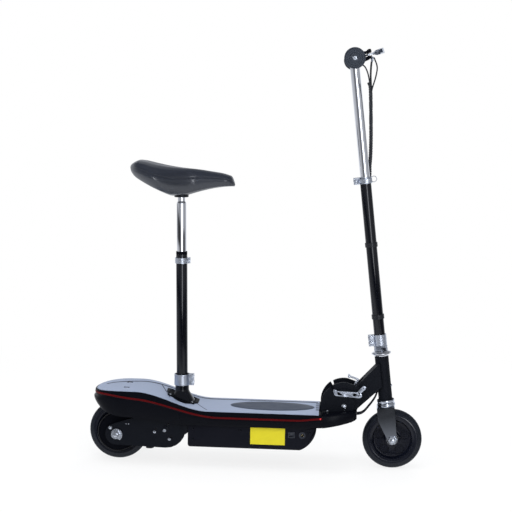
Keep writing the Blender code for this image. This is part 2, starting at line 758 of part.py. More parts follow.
REAR_PULLEY_TIP = REAR_TEETH * BELT_PITCH / (2 * math.pi) - 0.0004
MOTOR_PULLEY_TIP = MOTOR_TEETH * BELT_PITCH / (2 * math.pi) - 0.0004
BELT_OUTER_Y = BELT_INNER_Y - BELT_WIDTH
PULLEY_FACES = (BELT_OUTER_Y - 0.0012, BELT_INNER_Y + 0.0012)


def build_drive(rear, axle_line):
    """Motor, belt, both pulleys and the axle that the wheel turns on."""
    motor_line = assembly("motor_shaft_line", (MOTOR_X, 0.0, MOTOR_Z), rear)
    build_wheel("rear", axle_line)
    half = axle_profile(HUB_HALF_WIDTH + GAP, PLATE_IN - GAP, CAM_OUT + GAP, NUT_OUT,
                        NUT_OUT + 0.0025, REAR_SHOULDER)
    piece("rear_axle", turned(whole_axle(half), "Y", sides=16), STEEL, axle_line)
    bore = REAR_SHOULDER + 0.0008
    boss = sleeve(bore, 0.0150, PULLEY_FACES[1] - 0.002, -HUB_HALF_WIDTH - GAP, "Y",
                  sides=20)
    piece("rear_pulley", toothed(REAR_TEETH, REAR_PULLEY_TIP, *PULLEY_FACES, bore),
          BLACK_PLASTIC, axle_line, join=[boss])

    shaft = rod((0.0, -PLATE_OUT, 0.0), (0.0, MOTOR_FRONT_Y - GAP, 0.0), 0.004, sides=12)
    piece("motor_pulley", toothed(MOTOR_TEETH, MOTOR_PULLEY_TIP, *PULLEY_FACES, 0.002),
          STEEL, motor_line, join=[shaft])
    back = MOTOR_FRONT_Y + MOTOR_LENGTH
    can = turned([(0.0, back), (0.012, back), (MOTOR_RADIUS - 0.003, back - 0.003),
                  (MOTOR_RADIUS, back - 0.007), (MOTOR_RADIUS, MOTOR_FRONT_Y + 0.002),
                  (MOTOR_RADIUS - 0.002, MOTOR_FRONT_Y), (0.0, MOTOR_FRONT_Y)],
                 "Y", sides=28)
    posts = []
    for angle in MOTOR_BOLT_ANGLES:
        x, z = polar((0, 0), MOTOR_BOLT_CIRCLE, angle)
        posts.append(rod((x, GAP - PLATE_IN, z), (x, MOTOR_FRONT_Y + 0.001, z), 0.0045,
                         sides=10))
    piece("motor", can, BLACK_PAINT, motor_line, join=posts)

    outer = GAP + BELT_THICKNESS
    axle, motor = (0.0, TYRE_RADIUS), (MOTOR_X, MOTOR_Z)
    piece("drive_belt",
          plate([strap(axle, REAR_PULLEY_TIP + outer, motor, MOTOR_PULLEY_TIP + outer, 18),
                 strap(axle, REAR_PULLEY_TIP + 2 * GAP, motor, MOTOR_PULLEY_TIP + 2 * GAP,
                       18)], BELT_OUTER_Y, BELT_INNER_Y), RUBBER, rear)


def build_brake(axle_line):
    """Band brake: drum on the wheel, strap and backing plate on the frame, and its arm."""
    drum_out = BRAKE_PLATE_Y - 0.0045
    bore = REAR_SHOULDER + 0.0008
    seat = HUB_HALF_WIDTH + GAP
    piece("brake_drum",
          turned([(DRUM_RADIUS, drum_out), (DRUM_RADIUS, 0.0185), (0.0150, seat),
                  (bore, seat), (bore, 0.0195), (0.0150, 0.0195),
                  (DRUM_RADIUS - 0.0035, 0.0225), (DRUM_RADIUS - 0.0035, drum_out)],
                 "Y", sides=28, closed=True), STEEL, axle_line)
    inner = DRUM_RADIUS + GAP
    outer = inner + BAND_THICKNESS
    start, mouth = 200, 26
    band = (arc((0, 0), outer, start, start + 360 - mouth, 26)
            + arc((0, 0), inner, start + 360 - mouth, start, 26))
    anchor = polar((0, 0), outer + 0.002, start + 1)
    back = plate([circle((0, 0), BRAKE_PLATE_RADIUS, 28),
                  circle((0, 0), REAR_SHOULDER + 0.0004, 20)],
                 BRAKE_PLATE_Y, BRAKE_PLATE_Y + 0.002)
    tie = rod((anchor[0], 0.021, anchor[1]), (anchor[0], BRAKE_PLATE_Y + 0.001, anchor[1]),
              0.003, sides=10)
    arm_x, arm_z = BRAKE_ARM_PIVOT
    post = rod((arm_x, BRAKE_PLATE_Y + 0.001, arm_z), (arm_x, BRAKE_PLATE_Y + 0.0060, arm_z),
               0.003, sides=12)
    piece("brake_band", plate([band], 0.0205, 0.0305), STEEL, axle_line,
          join=[tie, back, post])
    arm_line = assembly("brake_arm_line", (arm_x, 0.0, arm_z), axle_line)
    low = BRAKE_PLATE_Y + 0.002 + GAP
    piece("brake_arm",
          plate([strap((0, 0), 0.0060, (-0.018, 0.030), 0.0045, 8),
                 circle((0, 0), 0.0033, 12)], low, low + 0.003), STEEL, arm_line)


def box_side_view(inset, upper):
    """The battery box from the side: eased rear corner and a full, curved front."""
    top = BODY_BOTTOM - GAP
    front = []
    for i in range(9):
        angle = math.pi / 2 * i / 8
        reach = BOX_END_X - inset - BOX_FLOOR_END_X
        front.append((BOX_FLOOR_END_X + reach * math.sin(angle) ** 1.4,
                      top - (top - BOX_BOTTOM - inset) * math.cos(angle)))
    corner = BOX_CORNER - inset * 0.9
    back = arc((BOX_START_X + inset + corner, BOX_BOTTOM + inset + corner), corner,
               180, 270, 3)
    return back + front + [(BOX_END_X - inset, upper), (BOX_START_X + inset, upper)]


def build_battery_box(rear):
    """Box under the deck with its batteries and controller."""
    half = BOX_WIDTH / 2
    top = BODY_BOTTOM - GAP
    reach_x, reach_z = SWITCH_LENGTH / 2 - 0.001, SWITCH_HEIGHT / 2 - 0.001
    switch_hole = block((SWITCH_X - reach_x, -half - 0.01, SWITCH_Z - reach_z),
                        (SWITCH_X + reach_x, -half + 0.01, SWITCH_Z + reach_z))
    socket_hole = rod((SOCKET_X, -half - 0.01, SOCKET_Z), (SOCKET_X, -half + 0.01, SOCKET_Z),
                      SOCKET_RADIUS, sides=16)
    piece("battery_box", plate([box_side_view(0.0, top + 0.00001)], -half, half),
          BLACK_PLASTIC, rear,
          cut=[plate([box_side_view(BOX_WALL, top + 0.02)], -half + BOX_WALL,
                     half - BOX_WALL), switch_hole, socket_hole])
    floor = BOX_BOTTOM + BOX_WALL + GAP
    middle = BOX_START_X + 0.014 + BATTERY_LENGTH + BATTERY_SPACE / 2
    cells = [block((x, -BATTERY_WIDTH / 2, floor),
                   (x + BATTERY_LENGTH, BATTERY_WIDTH / 2, floor + BATTERY_HEIGHT))
             for x in (middle - BATTERY_SPACE / 2 - BATTERY_LENGTH, middle + BATTERY_SPACE / 2)]
    wrap = block((middle - 0.020, -BATTERY_WIDTH / 2 - 0.0008, floor),
                 (middle + 0.020, BATTERY_WIDTH / 2 + 0.0008, floor + BATTERY_HEIGHT + 0.0008))
    piece("battery_pack", cells[0], BLACK_PLASTIC, rear, join=[cells[1], wrap])
    start = middle + BATTERY_SPACE / 2 + BATTERY_LENGTH + 0.006
    piece("motor_controller",
          block((start, -0.033, floor), (start + 0.026, 0.033, floor + 0.034)),
          ALUMINIUM, rear)


def build_switch(rear):
    """Rocker switch and round charging socket in the battery box's wall."""
    wall = -BOX_WIDTH / 2
    case_x, case_z = SWITCH_LENGTH / 2 - 0.001 - GAP, SWITCH_HEIGHT / 2 - 0.001 - GAP
    bezel = block((SWITCH_X - SWITCH_LENGTH / 2, wall - GAP - 0.0018,
                   SWITCH_Z - SWITCH_HEIGHT / 2),
                  (SWITCH_X + SWITCH_LENGTH / 2, wall - GAP, SWITCH_Z + SWITCH_HEIGHT / 2))
    case = block((SWITCH_X - case_x, wall - 0.001, SWITCH_Z - case_z),
                 (SWITCH_X + case_x, wall + 0.016, SWITCH_Z + case_z))
    key_x, key_z = case_x - 0.0012, case_z - 0.0010
    pocket = block((SWITCH_X - key_x, wall - 0.01, SWITCH_Z - key_z),
                   (SWITCH_X + key_x, wall + 0.010, SWITCH_Z + key_z))
    piece("switch_case", bezel, BLACK_PLASTIC, rear, join=[case], cut=[pocket])
    line = assembly("rocker_line", (SWITCH_X, wall + 0.0040, SWITCH_Z), rear)
    tip = key_z - 0.0012
    key = plate([[(-0.0068, tip), (-0.0050, 0.0), (-0.0068, -tip), (0.0030, -0.0030),
                  (0.0030, 0.0030)]], GAP - key_x, key_x - GAP, "X")
    key.matrix_basis = (Matrix.Rotation(math.radians(-SWITCH_TILT), 4, "X")
                        @ key.matrix_basis)
    piece("switch_rocker", key, RED_TRIM, line)
    barrel = SOCKET_RADIUS - GAP
    profile = [(0.0, 0.0100), (barrel, 0.0100), (barrel, -GAP), (0.0079, -GAP),
               (0.0079, -GAP - 0.0022), (0.0042, -GAP - 0.0022), (0.0042, 0.0070),
               (0.0, 0.0070)]
    piece("charge_socket", turned(profile, "Y", (SOCKET_X, wall, SOCKET_Z), 16),
          BLACK_PLASTIC, rear)


def build_stand(rear):
    """Kickstand on a stud of the left side plate, with a flat foot on the ground."""
    hub_in, hub_out = PLATE_OUT + GAP, PLATE_OUT + 0.0215
    line = assembly("kickstand_line", (STAND_X, 0.0, STAND_Z), rear)
    foot_x, foot_y = STAND_FOOT[0] - STAND_X, STAND_FOOT[1]
    leg = wire([(0.0010, hub_out - 0.0055, -0.0060),
                (foot_x * 0.20, hub_out - 0.003, -0.018),
                (foot_x, foot_y, 0.004 - STAND_Z)], 0.005)
    foot = rod((foot_x, foot_y, -STAND_Z), (foot_x, foot_y, 0.006 - STAND_Z), 0.010, 0.008,
               sides=16)
    bore = rod((0.0, hub_in - 0.01, 0.0), (0.0, hub_out + 0.01, 0.0), 0.0043, sides=16)
    piece("kickstand", rod((0.0, hub_in, 0.0), (0.0, hub_out, 0.0), 0.0085, sides=16),
          STEEL, line, join=[leg, foot], cut=[bore])


def notch(angle):
    """Cutter for a latch notch in the sector plates: a round-ended slot, open outwards."""
    start = polar((0, 0), LATCH_STUD_REACH, angle)
    end = polar((0, 0), SECTOR_RADIUS + 0.012, angle)
    return plate([strap(start, LATCH_STUD_RADIUS + GAP, end, LATCH_STUD_RADIUS + GAP, 8)],
                 -BRACKET_HALF - 0.01, BRACKET_HALF + 0.01)


def build_bracket(fold_line):
    """Sector plates with the two latch notches on a base plate, and the pivot bolt."""
    low = CHASSIS_TOP + GAP - PIVOT_Z
    foot = math.degrees(math.asin(-low / SECTOR_RADIUS))
    outline = (arc((0, 0), SECTOR_RADIUS, 180 + foot, LATCH_STUD_ANGLE, 16)
               + arc((0, 0), SHOULDER_RADIUS, LATCH_STUD_ANGLE, 62, 8)
               + [(0.0250, 0.0060), (BRACKET_TOE, low)])
    sheets = []
    for side in (-1, 1):
        inner, outer = sorted((side * BRACKET_INSIDE / 2, side * BRACKET_HALF))
        sheets.append(plate([outline, circle((0, 0), PIVOT_BOLT_RADIUS + GAP, 20)],
                            inner, outer))
    base = block((-SECTOR_RADIUS * math.cos(math.radians(foot)), -BRACKET_HALF, low),
                 (BRACKET_TOE, BRACKET_HALF, low + BRACKET_BASE))
    piece("hinge_bracket", base, BLACK_PAINT, fold_line, join=sheets,
          cut=[notch(LATCH_STUD_ANGLE), notch(LATCH_STUD_ANGLE + FOLD_TRAVEL)])
    end = BRACKET_HALF + GAP
    head = end + 0.0035
    slot_cut = block((-0.012, -head - 0.001, -0.0007), (0.012, -head + 0.0012, 0.0007), 20)
    piece("pivot_bolt",
          turned([(0.0, head), (0.0085, head), (0.0085, end), (PIVOT_BOLT_RADIUS, end),
                  (PIVOT_BOLT_RADIUS, -end), (0.0085, -end), (0.0085, -head + 0.0006),
                  (0.0077, -head), (0.0, -head)], "Y", sides=20),
          STEEL, fold_line, cut=[slot_cut])


def steering_point(u, w):
    """A point of the steering plane, in the fold pivot's frame, as (x, z)."""
    lean = math.radians(STEER_LEAN)
    x = WHEELBASE - FORK_RAKE * math.cos(lean) - PIVOT_X
    z = TYRE_RADIUS - FORK_RAKE * math.sin(lean) - PIVOT_Z
    return (x + u * math.cos(lean) - w * math.sin(lean),
            z + u * math.sin(lean) + w * math.cos(lean))


CUP_BOTTOM = CROWN_TOP + GAP
HEAD_TUBE_BOTTOM = CUP_BOTTOM + CUP_HEIGHT
HEAD_TUBE_TOP = HEAD_TUBE_BOTTOM + HEAD_TUBE_LENGTH


def steering_rod(low, high, radius, sides=28):
    """A round bar on the steering axis, in the fold pivot's frame."""
    bottom, top = steering_point(0, low), steering_point(0, high)
    return rod((bottom[0], 0, bottom[1]), (top[0], 0, top[1]), radius, sides=sides)


def past_end(line, distance):
    """The point a distance past the end of a line."""
    start, end = Vector(line[0]), Vector(line[1])
    return tuple(end + (end - start).normalized() * distance)


def build_neck(fold_line):
    """Welded neck: cheeks on the pivot, hollow beam, head tube and its pressed lower cup."""
    cheek_out = BRACKET_INSIDE / 2 - 0.0004
    below_pivot = (0.0262, -0.0088)
    outline = ([BEAM_LOWER[0]] + arc(LATCH_PIVOT, LATCH_BOSS_RADIUS, -42, 60, 6)
               + arc((0, 0), SECTOR_RADIUS, 84, 119, 6)
               + arc((0, 0), KNUCKLE_RADIUS, 146, 305, 10) + [below_pivot])
    cheeks = []
    for side in (-1, 1):
        inner, outer = sorted((side * CHEEK_INSIDE / 2, side * cheek_out))
        cheeks.append(plate([outline], inner, outer))
    beam = plate([[BEAM_LOWER[0], past_end(BEAM_LOWER, 0.016), past_end(BEAM_UPPER, 0.014),
                   BEAM_UPPER[0], (0.0120, 0.0270), (0.0120, -0.0075), below_pivot]],
                 -BEAM_WIDTH / 2, BEAM_WIDTH / 2)
    wall = BEAM_WALL * 1.41
    (low_x, low_z), (low_end_x, low_end_z) = BEAM_LOWER
    (high_x, high_z), (high_end_x, high_end_z) = BEAM_UPPER
    hollow = plate([[(low_x, low_z + wall), (low_end_x + 0.006, low_end_z + 0.006 + wall),
                     (high_end_x + 0.006, high_end_z + 0.006 - wall),
                     (high_x, high_z - wall), (-0.0300, -0.0160), (-0.0100, -0.0200),
                     (below_pivot[0], below_pivot[1] + wall)]],
                   -BEAM_WIDTH / 2 + BEAM_WALL, BEAM_WIDTH / 2 - BEAM_WALL)
    tube_space = [steering_rod(0.05, 0.25, HEAD_TUBE_RADIUS - 0.001, 20) for _ in range(2)]
    latch_x, latch_z = LATCH_PIVOT
    lever_slot = rod((latch_x, -0.0075, latch_z), (latch_x, 0.0075, latch_z), 0.033,
                     sides=28)
    shaft_hole = rod((latch_x, -0.05, latch_z), (latch_x, 0.05, latch_z),
                     LATCH_SHAFT_RADIUS + GAP, sides=16)
    bolt_hole = rod((0, -0.05, 0), (0, 0.05, 0), PIVOT_BOLT_RADIUS + GAP, sides=20)
    piece("neck", beam, BLACK_PAINT, fold_line,
          join=[steering_rod(CUP_BOTTOM, HEAD_TUBE_TOP, HEAD_TUBE_RADIUS),
                steering_rod(CUP_BOTTOM, HEAD_TUBE_BOTTOM, CUP_RADIUS), *cheeks],
          cut=[combine(hollow, cut=tube_space[:1]), combine(lever_slot, cut=tube_space[1:]),
               steering_rod(0.05, 0.25, STEERER_RADIUS + 0.0008, 24), shaft_hole,
               bolt_hole])


def build_latch(fold_line):
    """The latch: arms outside the bracket, studs in its notches, shaft and pull lever."""
    line = assembly("latch_line", (LATCH_PIVOT[0], 0.0, LATCH_PIVOT[1]), fold_line)
    stud = Vector(polar((0, 0), LATCH_STUD_REACH, LATCH_STUD_ANGLE)) - Vector(LATCH_PIVOT)
    arm_in = BRACKET_HALF + GAP
    arm_out = arm_in + LATCH_ARM_SHEET
    drop = -0.0027
    outline = strap((stud.x + 0.0065, drop), LATCH_ARM_HALF_HEIGHT,
                    (0.0, drop), LATCH_ARM_HALF_HEIGHT, 10)
    pockets = [circle((stud.x + 0.0095, drop - 0.0013), 0.0036, 10),
               circle((-0.0098, drop - 0.0013), 0.0036, 10)]
    tab = strap((0.0035, 0.0040), 0.0050, (0.0135, 0.0145), 0.0045, 6)
    solids = []
    for side in (-1, 1):
        inner, outer = sorted((side * arm_in, side * arm_out))
        solids.append(plate([outline, *pockets], inner, outer))
        solids.append(plate([tab], inner, outer))
        solids.append(rod((stud.x, side * (BRACKET_INSIDE / 2 + GAP), stud.y),
                          (stud.x, side * (arm_out - 0.001), stud.y),
                          LATCH_STUD_RADIUS, sides=16))
        solids.append(rod((0.0, side * (arm_out - 0.001), 0.0),
                          (0.0, side * (arm_out + 0.0030), 0.0), 0.0065, sides=16))
    pull = plate([strip([(-0.0010, 0.0020), (0.0005, 0.0246), (-0.0215, 0.0341)], 0.0034)],
                 -0.0065, 0.0065)
    handle = rod((-0.0215, -0.0180, 0.0341), (-0.0215, 0.0180, 0.0341), 0.0032, sides=12)
    piece("latch_yoke",
          rod((0.0, -arm_out, 0.0), (0.0, arm_out, 0.0), LATCH_SHAFT_RADIUS, sides=16),
          STEEL, line, join=[*solids, pull, handle])


def build_fork(steering):
    """Pressed fork with its steerer, the front axle and the wheel."""
    crown_low = CROWN_TOP - CROWN_THICKNESS
    half = FORK_INSIDE / 2 + FORK_SHEET
    blade = ([(-0.0220, CROWN_TOP), (-0.0225, 0.0500)]
             + arc((FORK_RAKE, 0.0020), FORK_END_RADIUS, 198, 350, 8) + [(0.0190, CROWN_TOP)])
    solids = []
    for side in (-1, 1):
        inner, outer = sorted((side * FORK_INSIDE / 2, side * half))
        solids.append(plate([blade, circle((FORK_RAKE, 0.0), AXLE_RADIUS + GAP, 16)],
                            inner, outer))
    steerer = rod((0, 0, crown_low + 0.001), (0, 0, STEERER_TOP), STEERER_RADIUS, sides=24)
    piece("fork", block((-0.0220, -half, crown_low), (0.0190, half, CROWN_TOP)),
          STEEL, steering, join=[*solids, steerer])
    axle_line = assembly("front_axle_line", (FORK_RAKE, 0.0, 0.0), steering)
    build_wheel("front", axle_line)
    profile = axle_profile(HUB_HALF_WIDTH + GAP, FORK_INSIDE / 2 - GAP, half + GAP,
                           half + 0.0055, half + 0.0085, FRONT_SHOULDER)
    piece("front_axle", turned(whole_axle(profile), "Y", sides=16), STEEL, axle_line)


def clamp(name, parent, inner, heights, ear, direction):
    """A split band clamp: collar, ears either side of its slit, and the bolts."""
    low, high = heights
    ear_start, ear_end, ear_half = ear
    outer = inner + CLAMP_WALL
    near, far = sorted((direction * ear_start, direction * ear_end))
    bolts = []
    count = 2 if high - low > 0.02 else 1
    for k in range(count):
        x, z = direction * (ear_end - 0.0045), low + (high - low) * (k + 0.5) / count
        bolts.append(rod((x, -ear_half - 0.0030, z), (x, ear_half + 0.0030, z), 0.0038,
                         sides=10))
    slit_low, slit_high = sorted((direction * (inner - 0.001),
                                  direction * (ear_end - 0.009)))
    piece(name, rod((0, 0, low), (0, 0, high), outer, sides=28), ALUMINIUM, parent,
          join=[block((near, -ear_half, low), (far, ear_half, high)), *bolts],
          cut=[rod((0, 0, low - 0.01), (0, 0, high + 0.01), inner, sides=28),
               block((slit_low, -0.001, low - 0.01), (slit_high, 0.001, high + 0.01))])


def build_headset(steering):
    """The chrome upper cup and the nut above it."""
    bore = STEERER_RADIUS + 0.0005
    top = HEAD_TUBE_TOP + GAP
    rim = top + FLANGE_HEIGHT
    upper_cup = turned([(0.0165, rim), (FLANGE_RADIUS, top + 0.0072),
                        (FLANGE_RADIUS, top + 0.0050), (0.0165, top), (bore, top),
                        (bore, rim)], sides=28, closed=True)
    piece("upper_headset_cup", upper_cup, CHROME, steering)
    piece("headset_nut",
          sleeve(STEERER_RADIUS + GAP, NUT_RADIUS, rim + GAP, LOWER_CLAMP[0] - GAP, sides=24),
          STEEL, steering)


def build_stem(steering):
    """Stem tube with its two clamps, and the quick-release lever."""
    piece("stem_tube", sleeve(STEM_BORE, STEM_RADIUS, STEM_BOTTOM, STEM_TOP), BLACK_PAINT,
          steering)
    inner = STEM_RADIUS + GAP
    clamp("lower_stem_clamp", steering, inner, LOWER_CLAMP, (0.0120, 0.0270, 0.0070), -1)
    low, high = UPPER_CLAMP
    outer = inner + CLAMP_WALL
    pin_u, pin_y = QUICK_RELEASE_PIVOT
    tab_sheet = 0.0028
    joins = [block((-0.0270, -0.0070, low), (-0.0130, 0.0070, high)),
             rod((pin_u, pin_y, low + 0.001), (pin_u, pin_y, high - 0.001), 0.0018, sides=10)]
    joins += [block((-0.0255, pin_y - 0.0045, z), (-0.0135, -0.0060, z + tab_sheet))
              for z in (low, high - tab_sheet)]
    piece("upper_stem_clamp", rod((0, 0, low), (0, 0, high), outer, sides=28), ALUMINIUM,
          steering, join=joins,
          cut=[rod((0, 0, low - 0.01), (0, 0, STEM_TOP + GAP), inner, sides=28),
               rod((0, 0, low - 0.01), (0, 0, high + 0.01), BAR_TUBE_RADIUS + 0.0004),
               block((-0.0200, -0.001, low - 0.01), (-0.0100, 0.001, high + 0.01))])
    line = assembly("quick_release_line", (pin_u, pin_y, 0.0), steering)
    hug = outer + 0.0022
    blade = [(x - pin_u, y - pin_y) for x, y in
             arc((0, 0), hug + 0.0030, 214, 318, 10) + arc((0, 0), hug, 318, 214, 10)]
    boss_low, boss_high = low + tab_sheet + GAP, high - tab_sheet - GAP
    piece("quick_release_lever", rod((0, 0, boss_low), (0, 0, boss_high), 0.0042, sides=14),
          STEEL, line, join=[plate([blade], boss_low, boss_high, "Z")],
          cut=[rod((0, 0, low), (0, 0, high), 0.0021, sides=10)])


def build_handlebar(bar):
    """Chrome T bar, grips and twist throttle."""
    bar_end = BAR_WIDTH / 2 - 0.008
    post = rod((0, 0, BAR_TUBE_BOTTOM - BAR_HEIGHT), (0, 0, 0), BAR_TUBE_RADIUS, sides=24)
    inside = rod((0, 0, BAR_TUBE_BOTTOM - BAR_HEIGHT - 0.01), (0, 0, -0.03),
                 BAR_TUBE_RADIUS - BAR_TUBE_WALL, sides=20)
    piece("handlebar", rod((0, -bar_end, 0), (0, bar_end, 0), BAR_TUBE_RADIUS, sides=24),
          CHROME, bar, join=[post], cut=[inside])
    bore = BAR_TUBE_RADIUS + GAP
    end = BAR_WIDTH / 2
    sleeve_end = GRIP_START_Y + THROTTLE_LENGTH

    def grip(start, side):
        """A rubber grip with its safety end, from start to the bar's end."""
        flange = end - GRIP_FLANGE
        profile = [(0.0038, end), (GRIP_FLANGE_RADIUS - 0.002, end),
                   (GRIP_FLANGE_RADIUS, end - 0.002), (GRIP_FLANGE_RADIUS, flange),
                   (GRIP_RADIUS, flange - 0.003), (GRIP_RADIUS, start), (bore, start),
                   (bore, bar_end + GAP), (0.0038, bar_end + GAP)]
        if side < 0:
            profile = [(r, -y) for r, y in reversed(profile)]
        return turned(profile, "Y", sides=24, closed=True)

    piece("left_grip", grip(GRIP_START_Y, 1), RUBBER, bar)
    piece("right_grip", grip(sleeve_end + GAP, -1), RUBBER, bar)
    piece("throttle_sleeve",
          turned([(THROTTLE_COLLAR_RADIUS, -GRIP_START_Y),
                  (THROTTLE_COLLAR_RADIUS, -GRIP_START_Y - 0.004),
                  (GRIP_RADIUS, -GRIP_START_Y - 0.006), (GRIP_RADIUS, -sleeve_end),
                  (bore, -sleeve_end), (bore, -GRIP_START_Y)], "Y", sides=24, closed=True),
          RUBBER, bar)


def build_brake_lever(bar):
    """Perch clamped to the bar, and the drilled lever on its pin."""
    pivot_u, pivot_w = LEVER_PIVOT
    outward, inward = PERCH_Y - PERCH_WIDTH / 2, PERCH_Y + PERCH_WIDTH / 2
    slot_half = LEVER_THICKNESS / 2 + 2 * GAP
    arm = plate([strap((0, 0), 0.0145, (pivot_u, pivot_w), 0.0085, 10)], outward, inward)
    jaw = block((0.0180, outward - 0.001, pivot_w - slot_half),
                (0.0450, inward + 0.001, pivot_w + slot_half), -LEVER_TILT,
                (pivot_u, PERCH_Y, pivot_w))
    bar_bore = rod((0, outward - 0.01, 0), (0, inward + 0.01, 0), BAR_TUBE_RADIUS + GAP,
                   sides=24)
    lean = math.radians(LEVER_TILT)
    up = Vector((-math.sin(lean), 0.0, math.cos(lean)))
    centre = Vector((pivot_u, PERCH_Y, pivot_w))
    pin = rod(centre - up * 0.0065, centre + up * 0.0065, 0.0020, sides=10)
    piece("brake_perch", combine(arm, cut=[bar_bore, jaw]), BLACK_PLASTIC, bar)
    combine(arm, join=[pin])
    line = assembly("brake_lever_line", centre, bar, LEVER_TILT)
    thick = LEVER_THICKNESS / 2
    path = [(0.0, 0.0), (0.0180, -0.0040), (0.0300, -0.0190), (0.0330, -0.0400),
            (0.0310, -0.0700), (0.0290, -0.0980)]
    holes = [rod((x, y, -0.01), (x, y, 0.01), 0.0023, sides=10)
             for x, y in ((0.0322, -0.0360), (0.0319, -0.0500), (0.0312, -0.0640),
                          (0.0304, -0.0780))]
    piece("brake_lever", rod((0, 0, -thick), (0, 0, thick), 0.0068, sides=16), ALUMINIUM,
          line, join=[plate([strip(path, 0.0105)], -thick, thick, "Z"),
                      rod((*path[-1], -0.0040), (*path[-1], 0.0040), 0.0062, sides=12)],
          cut=[rod((0, 0, -0.01), (0, 0, 0.01), 0.0023, sides=10), *holes])


def build_harness(steering, fold_line):
    """The wrapped cable bundle in three stretches, on the bar, the stem and the neck."""
    upper = [(0.0200, -0.0400, 0.8640), (0.0290, -0.0200, 0.8400), (0.0302, 0.0000, 0.8120),
             (0.0225, 0.0090, 0.7100), (0.0172, 0.0110, 0.6620), (0.0130, 0.0160, 0.6360),
             (0.0120, 0.0170, 0.6220)]
    piece("harness_upper", wire(smooth_path(upper, 0.012), HARNESS_RADIUS), RUBBER, steering)
    side = STEM_RADIUS + 2 * GAP + HARNESS_RADIUS
    stem = [(0.0120, 0.0170, 0.6205), (0.0090, 0.0195, 0.6080), (0.0050, 0.0195, 0.5860),
            (0.0, side, 0.5600), (0.0, side, CLIP_HEIGHTS[1]), (0.0, side, 0.3700),
            (0.0, side, CLIP_HEIGHTS[0]), (0.0, 0.0205, 0.2620), (0.0, 0.0215, 0.2400),
            (0.0, 0.0285, 0.2150)]
    clips = [plate([strap((0, 0), STEM_RADIUS + size, (0, side), HARNESS_RADIUS + size - GAP, 12)
                    for size in (GAP + CLIP_WALL, GAP)],
                   height - CLIP_WIDTH / 2, height + CLIP_WIDTH / 2, "Z")
             for height in CLIP_HEIGHTS]
    piece("harness_stem", wire(smooth_path(stem, 0.014), HARNESS_RADIUS + 0.00005), RUBBER,
          steering, join=clips)
    neck = [(0.0, 0.0288, 0.2130), (-0.0010, 0.0295, 0.2020), (-0.0050, 0.0264, 0.1700),
            (-0.0110, 0.0264, 0.1330)]
    path = []
    for u, y, w in neck:
        x, z = steering_point(u, w)
        path.append((x, y, z))
    entry = HARNESS_ENTRY
    path += [(0.6014 - PIVOT_X, 0.0215, 0.1660 - PIVOT_Z),
             (0.5830 - PIVOT_X, 0.0100, 0.1400 - PIVOT_Z),
             (0.5680 - PIVOT_X, 0.0045, entry[2] + 0.0030 - PIVOT_Z),
             (entry[0] - 0.004 - PIVOT_X, entry[1], entry[2] - PIVOT_Z)]
    piece("harness_lower", wire(smooth_path(path, 0.012), HARNESS_RADIUS), RUBBER, fold_line)


def build_seat(rear, mast):
    """Seat socket on the deck, mast, clamps and post."""
    start, end = MAST_X - FLANGE_LENGTH / 2, MAST_X + FLANGE_LENGTH / 2
    flange = between(lambda x: mat_top(x) + GAP, lambda x: mat_top(x) + GAP + FLANGE_SHEET,
                     start, end, 6, FLANGE_WIDTH / 2)
    below_boot = between(lambda x: 0.10, lambda x: mat_top(x) + GAP + FLANGE_SHEET / 2,
                         start - 0.01, end + 0.01, 8, 0.05)
    lean = math.radians(MAST_LEAN)
    up = Vector((-math.sin(lean), 0.0, math.cos(lean)))
    base = Vector((MAST_X, 0.0, MAST_Z))
    boot = rod(base - up * 0.006, base + up * BOOT_TOP, BOOT_RADIUS, STUB_RADIUS - 0.001,
               sides=24)
    stub = rod(base, base + up * STUB_TOP, STUB_RADIUS, sides=28)
    bore = rod(base + up * (MAST_BOTTOM - GAP), base + up * (STUB_TOP + 0.01),
               MAST_RADIUS + GAP, sides=28)
    slit = block((MAST_X + MAST_RADIUS - 0.001, -0.001, MAST_Z + SEAT_CLAMP[0] - 0.004),
                 (MAST_X + STUB_RADIUS + 0.002, 0.001, MAST_Z + STUB_TOP + 0.01))
    piece("seat_socket", flange, BLACK_PAINT, rear,
          join=[combine(boot, join=[stub], cut=[below_boot])], cut=[bore, slit])
    clamp("lower_seat_clamp", mast, STUB_RADIUS + GAP,
          SEAT_CLAMP, (0.0150, 0.0280, 0.0070), 1)
    piece("seat_mast", sleeve(MAST_BORE, MAST_RADIUS, MAST_BOTTOM, MAST_TOP), BLACK_PAINT,
          mast)
    clamp("upper_seat_clamp", mast, MAST_RADIUS + GAP, TOP_CLAMP, (0.0120, 0.0200, 0.0060), 1)
    piece("post_bush", sleeve(POST_RADIUS + GAP, MAST_RADIUS, MAST_TOP + GAP,
                              MAST_TOP + GAP + 0.0065, sides=24), BLACK_PLASTIC, mast)
    piece("seat_post",
          turned([(0.0, POST_TOP), (POST_NECK_RADIUS, POST_TOP),
                  (POST_NECK_RADIUS, POST_SHOULDER + 0.004), (POST_RADIUS, POST_SHOULDER),
                  (POST_RADIUS, POST_BOTTOM), (POST_RADIUS - POST_WALL, POST_BOTTOM),
                  (POST_RADIUS - POST_WALL, POST_SHOULDER - POST_WALL),
                  (POST_NECK_RADIUS - POST_WALL, POST_SHOULDER + 0.004),
                  (POST_NECK_RADIUS - POST_WALL, POST_TOP - POST_WALL),
                  (0.0, POST_TOP - POST_WALL)], sides=24), CHROME, mast)


